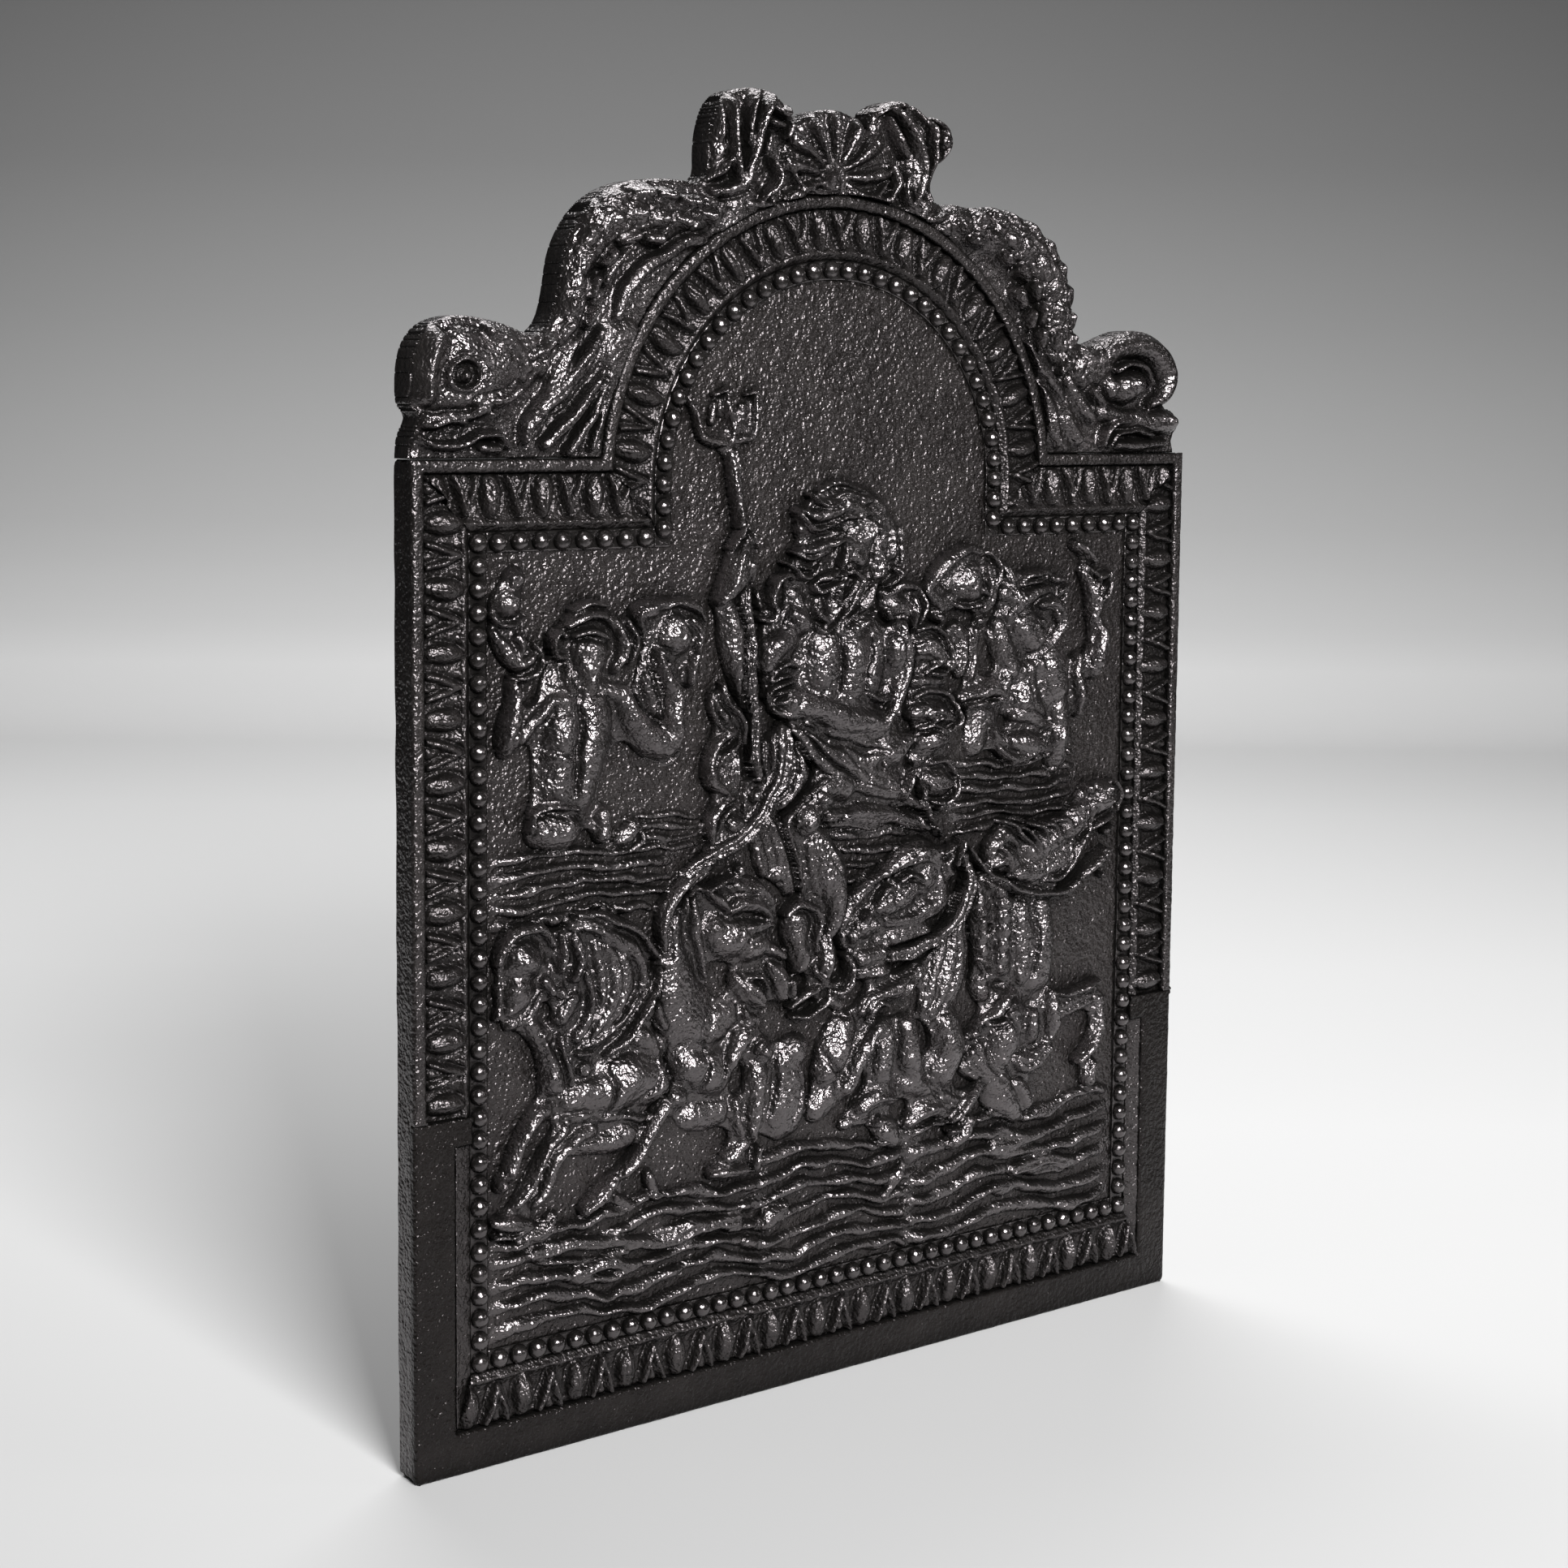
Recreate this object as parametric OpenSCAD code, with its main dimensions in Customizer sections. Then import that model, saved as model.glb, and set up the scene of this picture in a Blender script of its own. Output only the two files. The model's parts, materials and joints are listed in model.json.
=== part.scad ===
// Arched cast fireback: a sea god drawn in a shell chariot by four sea horses,
// with two tritons, framed by beads and leaves, under two dolphins and a scallop crest.
// The plate stands on its bottom edge. X runs along its width, Z up, and the carving faces -Y.

/* [Board] */
// Width of the plate
board_w = 480; // [420:5:560]
// Height of the square shoulders
shoulder_h = 468; // [440:2:520]
// Thickness of the plate behind the carving
board_t = 12; // [8:1:20]
// Outer radius of the arch
arch_r = 140; // [130:1:160]
// How far the centre of the arch lies below the shoulders
arch_drop = 13; // [5:1:20]
// Radius of the two bottom corners
corner_r = 3; // [1:0.5:6]

/* [Frame] */
// Width of the narrow rim bar
rim_w = 6.5; // [4:0.5:10]
// Height of the rim bar over the ground of the carving
rim_h = 4.5; // [3:0.5:8]
// Width of the plain side margins at the bottom
margin_w = 21.5; // [16:0.5:28]
// Width of the plain bottom margin
foot_margin = 20; // [14:1:28]
// Height up to which the side margins are plain
margin_top = 168; // [120:2:220]
// Height of the plain margins over the ground
margin_h = 4; // [2:0.5:7]
// Width of the leaf moulding at the sides
side_band = 24; // [20:0.5:30]
// Width of the leaf moulding under the shoulders
shoulder_band = 26.5; // [20:0.5:32]
// Width of the leaf moulding along the arch
arch_band = 25; // [20:0.5:32]
// Width of the leaf moulding over the bottom margin
foot_band = 25.5; // [20:0.5:32]
// Height of the moulding at its crest
crest_h = 4; // [2.5:0.5:6]
// Height of the moulding where it meets the beads
toe_h = 0.8; // [0.5:0.1:1.5]
// Spacing of the leaves
leaf_pitch = 14.5; // [11:0.5:20]
// Height of the leaves over the ground
leaf_h = 5.4; // [4.5:0.1:8]

/* [Beads] */
// Diameter of one bead
bead_d = 9; // [6:0.5:9.5]
// Spacing of the beads
bead_pitch = 10.3; // [9.6:0.1:14]
// Width of the channel that the beads lie in
bead_lane = 9.5; // [9.5:0.5:12]
// Height of a bead's centre over the ground
bead_lift = 0.8; // [0:0.2:2]

/* [Carving] */
// Height of the deepest carving over the ground
relief_h = 14; // [8:0.5:20]
// How far the ground of the dolphins and the crest stands out over the ground of the plate
crest_rise = 2; // [1:0.5:4]
// Hairline seam where a crest piece follows the round arch or the shell
seam = 0.06; // [0.05:0.01:0.2]

/* [Hidden] */

half_w = board_w / 2;
arch_z = shoulder_h - arch_drop;
depth = board_t + relief_h;
ground_y = depth / 2 - board_t;
tiny = 0.01;
far = 2 * board_w;

// Lines of the frame, from the outside in
rim_x = half_w - rim_w;
rim_z = shoulder_h - rim_w;
rim_r = arch_r - rim_w;
lane_x = rim_x - side_band;
lane_z = rim_z - shoulder_band;
lane_r = rim_r - arch_band;
lane_foot = foot_margin + foot_band;
margin_x = half_w - margin_w;
bead_x = lane_x - bead_lane / 2;
bead_z = lane_z - bead_lane / 2;
bead_r = lane_r - bead_lane / 2;
bead_foot = lane_foot + bead_lane / 2;
field_x = lane_x - bead_lane;
field_z = lane_z - bead_lane;
field_r = lane_r - bead_lane;
field_foot = lane_foot + bead_lane;
arch_top = arch_z + arch_r;
lane_h = min(toe_h, 0.6);

// The scene and the crest were drawn at these sizes, and stretch with the plate:
// the field's half width, foot, height and depth, then half the plate's width, the rise of
// the arch over the shoulders, its radius, and the depth of the crest's carving
drawn = [200, 55, 499, 14, 240, 127, 140, 12];
scene_x = field_x / drawn[0];
scene_z = (arch_z + field_r - field_foot) / drawn[2];
deep = relief_h / drawn[3];
shoulder_x = half_w / drawn[4];
shoulder_z = (arch_r - arch_drop) / drawn[5];
top_scale = arch_r / drawn[6];
crest_t = board_t + crest_rise;
crest_deep = (relief_h - crest_rise) / drawn[7];
wall_turn = [90, 0, 0];

iron = [0.13, 0.125, 0.125];
worn = [0.2, 0.19, 0.185];

// Turns a drawing of the front, x across and y up, on to the ground of the plate
module on_ground() {
    translate([0, ground_y, 0]) rotate(wall_turn) children();
}

// ---- Outlines of the front ----

// Square shoulders with a round arch; reach is measured in from the plate's edge
module arched_outline(x, z, r, foot) {
    translate([-x, foot]) square([2 * x, z - foot]);
    intersection() {
        translate([0, arch_z]) circle(r, $fn = 120);
        translate([-far / 2, foot]) square(far);
    }
    translate([-r, foot]) square([2 * r, arch_z - foot]);
}

module board_outline() {
    difference() {
        arched_outline(half_w, shoulder_h, arch_r, 0);
        for (side = [-1, 1])
            translate([side * half_w, 0]) difference() {
                square(2 * corner_r, center = true);
                translate([-side * corner_r, corner_r]) circle(corner_r, $fn = 32);
            }
    }
}

module field_outline() {
    arched_outline(field_x, field_z, field_r, field_foot);
}

// ---- Frame ----

module arched_board() {
    color(iron) translate([0, depth / 2, 0]) rotate(wall_turn)
        linear_extrude(board_t) board_outline();
}

module plain_margin() {
    color(iron) on_ground() linear_extrude(margin_h) difference() {
        intersection() {
            board_outline();
            translate([-half_w, 0]) square([board_w, margin_top]);
        }
        translate([-margin_x, foot_margin]) square([2 * margin_x, margin_top - foot_margin - rim_w * 2]);
        translate([-lane_x, foot_margin]) square([2 * lane_x, margin_top]);
    }
}

module rim_bar() {
    color(worn) on_ground() linear_extrude(rim_h) difference() {
        board_outline();
        arched_outline(rim_x, rim_z, rim_r, -1);
        translate([-half_w, -1]) square([board_w, margin_top + 1]);
    }
}

// Cross section of the moulding: out from the rim, up to a crest, down to the beads
function band_profile(width) = [
    [0, 0], [0, crest_h * 0.45], [width * 0.58, crest_h], [width, toe_h], [width, 0]
];

// A leaf seen from the front, its root on the rim at y = 0 and its tip towards the beads
module leaf_tongue(width, reach) {
    polygon([
        [-width / 2, 0], [width / 2, 0], [width * 0.34, reach * 0.55],
        [0, reach], [-width * 0.34, reach * 0.55]
    ]);
}

// A slanted leaf between two tongues
module leaf_blade(width, reach) {
    polygon([
        [-width * 0.5, reach * 0.1], [width * 0.25, reach * 0.12], [width * 0.5, reach * 0.5],
        [width * 0.3, reach * 0.95], [-width * 0.1, reach * 0.7]
    ]);
}

module leaf(index, reach) {
    if (index % 2 == 0) leaf_tongue(leaf_pitch * 0.8, reach);
    else leaf_blade(leaf_pitch * 0.8, reach);
}

// A straight moulding with its leaves, its rim line along x from 0 to length
module leaf_run(length, width) {
    count = floor(length / leaf_pitch);
    gap = length / count;
    reach = width * 0.56;
    rotate([90, 0, 90]) linear_extrude(length) polygon(band_profile(width));
    linear_extrude(leaf_h) for (i = [0 : count - 1])
        translate([(i + 0.5) * gap, 0]) leaf(i, reach);
}

// Keeps the part of a moulding that lies inside its mitred outline
module mitred(points) {
    intersection() {
        children();
        linear_extrude(leaf_h * 2) polygon(points);
    }
}

module leaf_moulding_side(side) {
    color(worn) on_ground() mirror([side < 0 ? 0 : 1, 0, 0])
        mitred([[-rim_x, margin_top], [-rim_x, rim_z], [-lane_x, lane_z], [-lane_x, margin_top]])
            translate([-rim_x, rim_z]) rotate(-90) leaf_run(rim_z - margin_top, side_band);
}

shoulder_mitre = [[-rim_x, rim_z], [-rim_r, rim_z], [-lane_r, lane_z], [-lane_x, lane_z]];

module leaf_moulding_shoulder(side) {
    color(worn) on_ground() mirror([side < 0 ? 0 : 1, 0, 0])
        mitred(shoulder_mitre)
            translate([-rim_x, rim_z]) mirror([0, 1, 0]) leaf_run(rim_x - lane_r, shoulder_band);
}

module leaf_moulding_foot() {
    color(worn) on_ground()
        mitred([[-margin_x, foot_margin], [margin_x, foot_margin], [lane_x, lane_foot], [-lane_x, lane_foot]])
            translate([-margin_x, foot_margin]) leaf_run(2 * margin_x, foot_band);
}

module leaf_moulding_arch() {
    count = 2 * floor(PI * rim_r / leaf_pitch / 2) + 1;
    root = 0.3;
    color(worn) on_ground() difference() {
        union() {
            translate([0, arch_z, 0]) {
                rotate_extrude(angle = 180, $fn = 120) polygon([
                    for (p = band_profile(arch_band)) [rim_r - p[0], p[1]]
                ]);
                linear_extrude(leaf_h) for (i = [0 : count - 1])
                    rotate(180 * (i + 0.5) / count - 90) translate([0, rim_r - root])
                        mirror([0, 1, 0]) leaf(i, arch_band * 0.56);
            }
            for (side = [0, 1]) mirror([side, 0, 0])
                translate([-rim_r, lane_z, 0]) rotate([90, 0, 0]) mirror([0, 0, 1])
                    linear_extrude(arch_z - lane_z + tiny) polygon(band_profile(arch_band));
        }
        for (side = [0, 1]) mirror([side, 0, 0]) translate([0, 0, -1]) linear_extrude(leaf_h * 2)
            polygon([[-rim_x, rim_z], [-rim_r, rim_z], [-lane_r, lane_z], [-rim_x, lane_z]]);
    }
}

// The plain slope from the side margin down to the beads
module channel_bevel(side) {
    width = margin_x - lane_x;
    color(iron) on_ground() mirror([side < 0 ? 0 : 1, 0, 0])
        mitred([[-margin_x, foot_margin], [-margin_x, margin_top - 2 * rim_w],
            [-lane_x, margin_top - 2 * rim_w], [-lane_x, lane_foot]])
            translate([-margin_x, 0]) rotate([90, 0, 0]) mirror([0, 0, 1])
                linear_extrude(margin_top) polygon([[0, 0], [0, crest_h * 0.8], [width, toe_h], [width, 0]]);
}

// ---- Beads ----

module bead(x, z) {
    intersection() {
        translate([x, z, bead_lift]) sphere(d = bead_d, $fn = 24);
        translate([x - bead_d, z - bead_d, 0]) cube(2 * bead_d);
    }
}

// Beads evenly spaced from one point to another, on the floor of their channel
module bead_line(start, end, low, high) {
    count = floor(norm(end - start) / bead_pitch);
    color(worn) on_ground() {
        for (i = [0 : count]) {
            p = start + (end - start) * i / count;
            bead(p[0], p[1]);
        }
        translate([low[0], low[1], 0]) cube([high[0] - low[0], high[1] - low[1], lane_h]);
    }
}

module bead_line_side(side) {
    mirror([side < 0 ? 0 : 1, 0, 0])
        bead_line([-bead_x, bead_foot], [-bead_x, bead_z], [-lane_x, lane_foot], [-field_x, lane_z]);
}

module bead_line_shoulder(side) {
    mirror([side < 0 ? 0 : 1, 0, 0]) bead_line([-bead_x + bead_pitch, bead_z], [-bead_r - bead_pitch, bead_z],
        [-field_x, field_z], [-lane_r, lane_z]);
}

module bead_row_foot() {
    bead_line([-bead_x + bead_pitch, bead_foot], [bead_x - bead_pitch, bead_foot],
        [-field_x, lane_foot], [field_x, field_foot]);
}

module bead_row_arch() {
    count = floor(PI * bead_r / bead_pitch);
    legs = floor((arch_z - bead_z) / bead_pitch + tiny);
    color(worn) on_ground() {
        for (i = [0 : count])
            bead(bead_r * cos(180 * i / count), arch_z + bead_r * sin(180 * i / count));
        for (side = [-1, 1]) {
            if (legs > 0) for (i = [1 : legs]) bead(side * bead_r, arch_z - i * bead_pitch);
            translate([side * bead_r - bead_lane / 2, field_z, 0])
                cube([bead_lane, arch_z - field_z, lane_h]);
        }
        translate([0, arch_z, 0]) rotate_extrude(angle = 180, $fn = 120)
            translate([field_r, 0]) square([bead_lane, lane_h]);
    }
}

// ---- Carved figures ----

// Puts a piece drawn for the field at its place, [x, z], and stretches it with the field
module in_field(p) {
    translate([p[0] * scene_x, field_foot + (p[1] - drawn[1]) * scene_z, 0])
        scale([scene_x, scene_z, 1]) children();
}

// A low dome of radius r and height h, with fewer sides where it is thin
module dome(r, h) {
    sides = r < 9.5 ? 6 : 8;
    cylinder(h = h * 0.6, r1 = r, r2 = r * 0.78, $fn = sides);
    translate([0, 0, h * 0.6]) cylinder(h = h * 0.4, r1 = r * 0.78, r2 = r * 0.3, $fn = sides);
}

// The dome at one point of a limb: [x, z, half width, height]
module knob(p) {
    in_field(p) dome(p[2], p[3] * deep);
}

// A limb is a rounded ridge along its points
module limb(points) {
    if (len(points) == 1) hull() knob(points[0]);
    else for (i = [0 : len(points) - 2]) hull() {
        knob(points[i]);
        knob(points[i + 1]);
    }
}

module limbs(list) {
    for (points = list) limb(points);
}

sea_god_limbs = [
    [[2, 414, 19, 13.2], [8, 424, 15, 12]],
    [[-24, 436, 5, 7], [-6, 432, 8, 9], [14, 438, 9, 9], [28, 430, 8, 8], [32, 412, 6, 7]],
    [[-16, 398, 8, 10], [4, 390, 11, 11]],
    [[2, 388, 13, 11], [-2, 368, 17, 12], [2, 344, 18, 11]],
    [[-22, 384, 13, 12], [12, 380, 15, 12.5], [32, 382, 12, 12]],
    [[-24, 384, 12, 12], [-46, 371, 10, 11], [-66, 396, 9, 11], [-66, 418, 9, 12], [-58, 432, 7, 10]],
    [[34, 380, 11, 12], [34, 358, 11, 12], [22, 344, 10, 11]],
    [[8, 328, 18, 10], [-8, 306, 15, 12], [-20, 290, 12, 14], [-9, 262, 9, 10], [-4, 232, 8, 8],
        [-4, 218, 8, 8], [-18, 197, 6, 7]],
    [[22, 326, 16, 10], [36, 310, 12, 12], [44, 296, 9, 9]]
];

trident_limbs = [
    [[-86, 494, 2.6, 5], [-83, 480, 2.6, 5], [-78, 476, 3, 5], [-56, 476, 3, 5], [-51, 482, 2.6, 5],
        [-50, 502, 2.6, 5]],
    [[-69, 500, 2.8, 5], [-66, 476, 3, 5], [-61, 436, 3.2, 5.5]],
    [[-57, 400, 3.4, 6], [-50, 312, 3.4, 6]]
];

cloak_limbs = [
    [[46, 386, 10, 9], [60, 390, 7, 8]],
    [[46, 366, 9, 9], [60, 366, 12, 10], [68, 360, 8, 8]],
    [[46, 340, 9, 9], [62, 336, 13, 10], [74, 334, 7, 8]],
    [[50, 320, 8, 9], [64, 318, 9, 8]],
    [[54, 298, 7, 8], [68, 302, 10, 9]],
    [[58, 292, 6, 7], [64, 276, 4, 6]],
    [[54, 384, 6, 5], [54, 340, 6, 5], [58, 290, 5, 5]]
];

shell_chariot_limbs = [
    [[-74, 352, 4, 6], [-71, 338, 5, 7], [-62, 332, 5, 7], [-76, 322, 5, 7], [-77, 310, 5, 7],
        [-62, 303, 5, 7], [-75, 294, 5, 7], [-74, 279, 5, 7]],
    [[-60, 318, 12, 5], [-48, 314, 12, 5]],
    [[-62, 290, 11, 5], [-48, 296, 9, 5]],
    [[-36, 334, 4.5, 9], [-38, 310, 4.5, 9], [-50, 292, 4.5, 9], [-80, 272, 4.5, 7]],
    [[16, 288, 17, 6], [46, 288, 12, 6]]
];

reins_limbs = [
    [[-80, 272, 3, 6], [-99, 259, 3, 6], [-107, 242, 3, 6]],
    [[83, 258, 3.6, 10], [85, 244, 3.6, 10], [75, 225, 3.6, 10], [58, 216, 3.6, 9], [34, 212, 3.6, 8]],
    [[86, 260, 3, 6], [106, 245, 3, 7], [128, 236, 3, 8], [156, 233, 3, 7], [174, 241, 4, 8],
        [188, 254, 4, 8]]
];

horse_1_limbs = [
    [[-166, 247, 9, 10], [-182, 238, 14, 12], [-184, 220, 11, 11], [-174, 196, 7, 9], [-165, 177, 8, 9]],
    [[-162, 236, 9, 9], [-158, 200, 8, 8]],
    [[-148, 242, 12, 9], [-130, 224, 17, 10], [-138, 200, 14, 9]],
    [[-156, 252, 5, 10], [-128, 247, 6, 11], [-110, 228, 6, 11], [-111, 210, 6, 10], [-138, 187, 4, 8]],
    [[-148, 174, 14, 9], [-116, 174, 17, 10]],
    [[-172, 163, 7, 8], [-188, 142, 5.5, 7], [-194, 134, 5.5, 7]],
    [[-158, 156, 6, 7], [-186, 122, 5, 7], [-188, 112, 8, 7]],
    [[-146, 156, 6, 7], [-164, 138, 5.5, 8], [-177, 123, 6, 7]],
    [[-140, 152, 6, 6], [-114, 149, 6, 6]]
];

horse_2_limbs = [
    [[-92, 256, 9, 9], [-96, 232, 11, 10], [-84, 200, 18, 10], [-84, 172, 14, 10]],
    [[-84, 256, 7, 9], [-68, 236, 15, 12], [-50, 230, 12, 11], [-38, 222, 9, 9]],
    [[-64, 252, 8, 10], [-44, 248, 9, 10], [-34, 236, 8, 10]],
    [[-54, 207, 9, 9], [-37, 210, 9, 9], [-24, 215, 7, 8]],
    [[-100, 159, 8, 9], [-124, 129, 7, 9], [-144, 114, 8, 7]],
    [[-50, 196, 10, 10], [-64, 172, 8, 8]],
    [[-47, 176, 9, 10], [-53, 142, 8, 9], [-70, 119, 9, 8], [-56, 116, 6, 7]],
    [[-88, 152, 10, 6], [-66, 148, 8, 6]],
    [[-26, 166, 13, 9], [-28, 142, 15, 8]]
];

horse_3_limbs = [
    [[82, 266, 4, 9], [70, 254, 11, 11], [48, 249, 13, 12], [28, 241, 10, 11], [15, 231, 8, 10]],
    [[36, 260, 5, 9], [54, 267, 6, 10]],
    [[64, 240, 11, 10], [38, 231, 9, 9], [22, 222, 5, 7]],
    [[80, 238, 9, 9], [72, 200, 19, 10]],
    [[56, 192, 12, 9], [22, 188, 7, 8]],
    [[52, 172, 12, 11], [53, 150, 12, 10], [76, 152, 12, 11], [74, 170, 12, 11]],
    [[10, 176, 12, 11], [-4, 152, 11, 9]],
    [[33, 172, 7, 10], [12, 154, 7, 9]],
    [[35, 168, 7, 9], [32, 144, 7, 9], [30, 122, 9, 8]],
    [[94, 138, 6, 8], [80, 112, 9, 8]],
    [[72, 134, 8, 7], [54, 124, 8, 7]]
];

horse_4_limbs = [
    [[112, 262, 11, 11], [132, 258, 12, 10], [154, 266, 12, 11], [182, 284, 9, 12]],
    [[124, 246, 10, 9], [150, 248, 11, 9], [172, 266, 6, 9]],
    [[96, 238, 7, 9], [98, 218, 8, 10], [100, 190, 9, 8]],
    [[108, 238, 7, 9], [113, 218, 8, 10], [113, 198, 7, 8]],
    [[134, 226, 14, 9], [136, 194, 16, 9]],
    [[116, 176, 11, 11], [104, 166, 9, 9], [112, 154, 12, 10], [132, 144, 12, 9], [148, 154, 8, 9],
        [146, 174, 7, 10]],
    [[102, 138, 10, 8], [114, 122, 12, 8]],
    [[158, 176, 4, 7], [182, 178, 4, 7]],
    [[180, 166, 7, 6], [180, 148, 7, 8], [172, 137, 5, 9], [178, 124, 8, 7]]
];

triton_left_limbs = [
    [[-150, 382, 13, 12], [-151, 374, 12, 12]],
    [[-162, 384, 7, 9], [-148, 397, 9, 10], [-133, 386, 8, 9]],
    [[-166, 346, 13, 10], [-144, 346, 13, 10]],
    [[-168, 332, 12, 10], [-168, 296, 15, 9]],
    [[-146, 334, 12, 11], [-142, 296, 10, 8]],
    [[-168, 354, 9, 9], [-188, 360, 6, 8], [-190, 342, 8, 9]],
    [[-136, 360, 7, 8], [-123, 340, 6, 7]]
];

conch_left_limbs = [
    [[-168, 376, 3, 6], [-182, 373, 5, 7], [-191, 398, 7.5, 8], [-187, 412, 7, 8]]
];

nymph_limbs = [
    [[-98, 388, 11, 10]],
    [[-119, 390, 5, 7], [-108, 400, 5, 7], [-92, 400, 5, 7]],
    [[-100, 376, 8, 8], [-108, 350, 12, 8], [-98, 330, 7, 7]],
    [[-88, 384, 6, 8], [-82, 380, 5, 6]]
];

triton_right_limbs = [
    [[126, 384, 14, 12], [136, 376, 13, 12]],
    [[110, 372, 8, 8], [117, 398, 8, 9], [140, 396, 8, 9]],
    [[140, 362, 8, 9], [132, 352, 14, 11]],
    [[146, 340, 12, 10], [148, 308, 13, 9]],
    [[124, 344, 13, 10], [122, 314, 15, 9]],
    [[158, 360, 8, 9], [174, 354, 8, 10], [178, 384, 7, 9]],
    [[110, 344, 8, 9], [89, 341, 6, 8]],
    [[162, 344, 6, 8], [162, 322, 6, 7]]
];

conch_right_limbs = [
    [[62, 402, 4, 7], [68, 412, 5, 8], [80, 417, 5, 8]],
    [[162, 416, 5, 8], [182, 402, 5, 7]]
];

// The ring of the right conch: its centre, radius, half thickness and height
horn_ring = [90, 401, 13, 4.5, 9];
module horn_loop() {
    thick = horn_ring[3];
    high = horn_ring[4] * deep;
    in_field(horn_ring) rotate_extrude($fn = 20) translate([horn_ring[2], 0])
        polygon([[-thick, 0], [-thick * 0.78, high * 0.6], [-thick * 0.3, high], [thick * 0.3, high],
            [thick * 0.78, high * 0.6], [thick, 0]]);
}

// Cuts a figure to the field, and carves away what lies in front of it
module carve() {
    color(worn) on_ground() difference() {
        intersection() {
            children(0);
            linear_extrude(relief_h) field_outline();
        }
        if ($children > 1) children([1 : $children - 1]);
    }
}

// Rows of waves; each crest is a wavy strip on a low sheet of water
function wave_edge(x0, x1, z, swell, length, phase) = [
    for (x = [x0 : (x1 - x0) / 10 : x1 + tiny]) [x, z + swell * sin(360 * x / length + phase)]
];

module wave_strip(x0, x1, z, width, swell, length, phase) {
    upper = wave_edge(x0, x1, z + width / 2, swell, length, phase);
    lower = wave_edge(x0, x1, z - width / 2, swell, length, phase);
    polygon(concat(upper, [for (i = [len(lower) - 1 : -1 : 0]) lower[i]]));
}

module waves(x0, x1, z0, z1, rows, swell, length) {
    pitch = (z1 - z0) / rows;
    translate([0, field_foot - drawn[1] * scene_z, 0]) {
        linear_extrude(3 * deep) scale([scene_x, scene_z]) for (i = [0 : rows - 1])
            wave_strip(x0, x1, z0 + (i + 0.5) * pitch, pitch * 0.6, swell, length, 50 * i);
        linear_extrude(1.2 * deep) scale([scene_x, scene_z])
            wave_strip(x0, x1, (z0 + z1) / 2, z1 - z0 - pitch * 0.4, swell, length, 0);
    }
}

// ---- Dolphins, fins and shell ----

// A smooth closed outline: each side is cut in steps along a curve through the points
function blend_point(a, b, c, d, t) = 0.5 * (2 * b + (c - a) * t + (2 * a - 5 * b + 4 * c - d) * t * t
    + (3 * b - a - 3 * c + d) * t * t * t);
function smooth_outline(points, steps = 3) = [
    for (i = [0 : len(points) - 1], s = [0 : steps - 1])
        blend_point(points[(i + len(points) - 1) % len(points)], points[i],
            points[(i + 1) % len(points)], points[(i + 2) % len(points)], s / steps)
];

// Dolphins are drawn from the corner of the shoulder, [in from the edge, up from the shoulder].
// What they hide behind the arch is cut away there.
dolphin_left_outline = [
    [1, -12], [1, 8], [5, 18], [1, 25], [1, 40], [4, 51], [11, 59], [22, 63], [35, 63], [50, 60], [64, 56],
    [72, 62], [76, 74], [79, 91], [84, 103], [92, 114], [103, 122], [116, 127], [132, 129], [148, 129],
    [161, 124], [184, 97], [145, 67], [120, 22], [118, -12], [8, -12]
];
dolphin_right_outline = [
    [1, -12], [6, 6], [1, 15], [5, 22], [13, 26], [4, 40], [8, 51], [17, 60], [30, 65], [43, 65], [56, 61],
    [68, 57], [77, 58], [83, 64], [83, 74], [86, 86], [92, 100], [100, 111], [112, 119], [126, 124],
    [140, 126], [155, 125], [172, 124], [184, 97], [145, 67], [120, 22], [118, -12], [8, -12]
];
dolphin_left_limbs = [
    [[24, 40, 20, 9], [36, 34, 18, 8], [52, 34, 14, 6]],
    [[8, 18, 6, 7], [34, 19, 8, 7], [50, 28, 8, 7]],
    [[8, 8, 5, 6], [30, 6, 6, 6], [46, 8, 6, 6]],
    [[76, 50, 9, 7], [92, 78, 13, 10], [104, 102, 14, 11], [126, 114, 13, 9], [152, 112, 9, 7]],
    [[62, 16, 7, 7], [98, 54, 5, 6]],
    [[70, 8, 6, 6], [100, 34, 4, 5]]
];
dolphin_right_limbs = [
    [[22, 34, 12, 9], [20, 50, 12, 9], [34, 58, 12, 9], [48, 50, 12, 8]],
    [[42, 38, 10, 12]],
    [[12, 16, 8, 10], [36, 16, 8, 7], [54, 14, 8, 6]],
    [[64, 44, 12, 8], [84, 56, 12, 9], [98, 86, 16, 11], [118, 104, 14, 10], [150, 112, 11, 8],
        [176, 112, 8, 7]],
    [[72, 18, 9, 6], [98, 46, 8, 6]]
];

// The fins and the shell are drawn from the top of the arch
tail_fin_left_outline = [
    [-87, -5], [-80, 6], [-79.5, 16], [-78.5, 26], [-75, 37], [-69, 44], [-60, 47], [-48, 48], [-39, 45],
    [-33, 41], [-26, 30], [-26, 0], [-40, -18], [-74, -34]
];
tail_fin_right_outline = [
    [18, 36], [22, 43], [30, 47], [39, 48], [47, 45], [53, 41], [60, 42], [67, 37], [70, 29], [67, 22],
    [60, 16], [56, 9], [58, 2], [68, -5], [60, -26], [20, -14], [14, 0]
];
tail_fin_left_limbs = [
    [[-74, 10, 6, 6], [-74, 34, 5, 7]],
    [[-66, 4, 5, 8], [-67, 38, 5, 9]],
    [[-64, 0, 6, 8], [-57, 16, 6, 10], [-48, 42, 5, 10]],
    [[-46, 4, 4, 8], [-44, 16, 4, 8]],
    [[-38, 32, 6, 8]]
];
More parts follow.
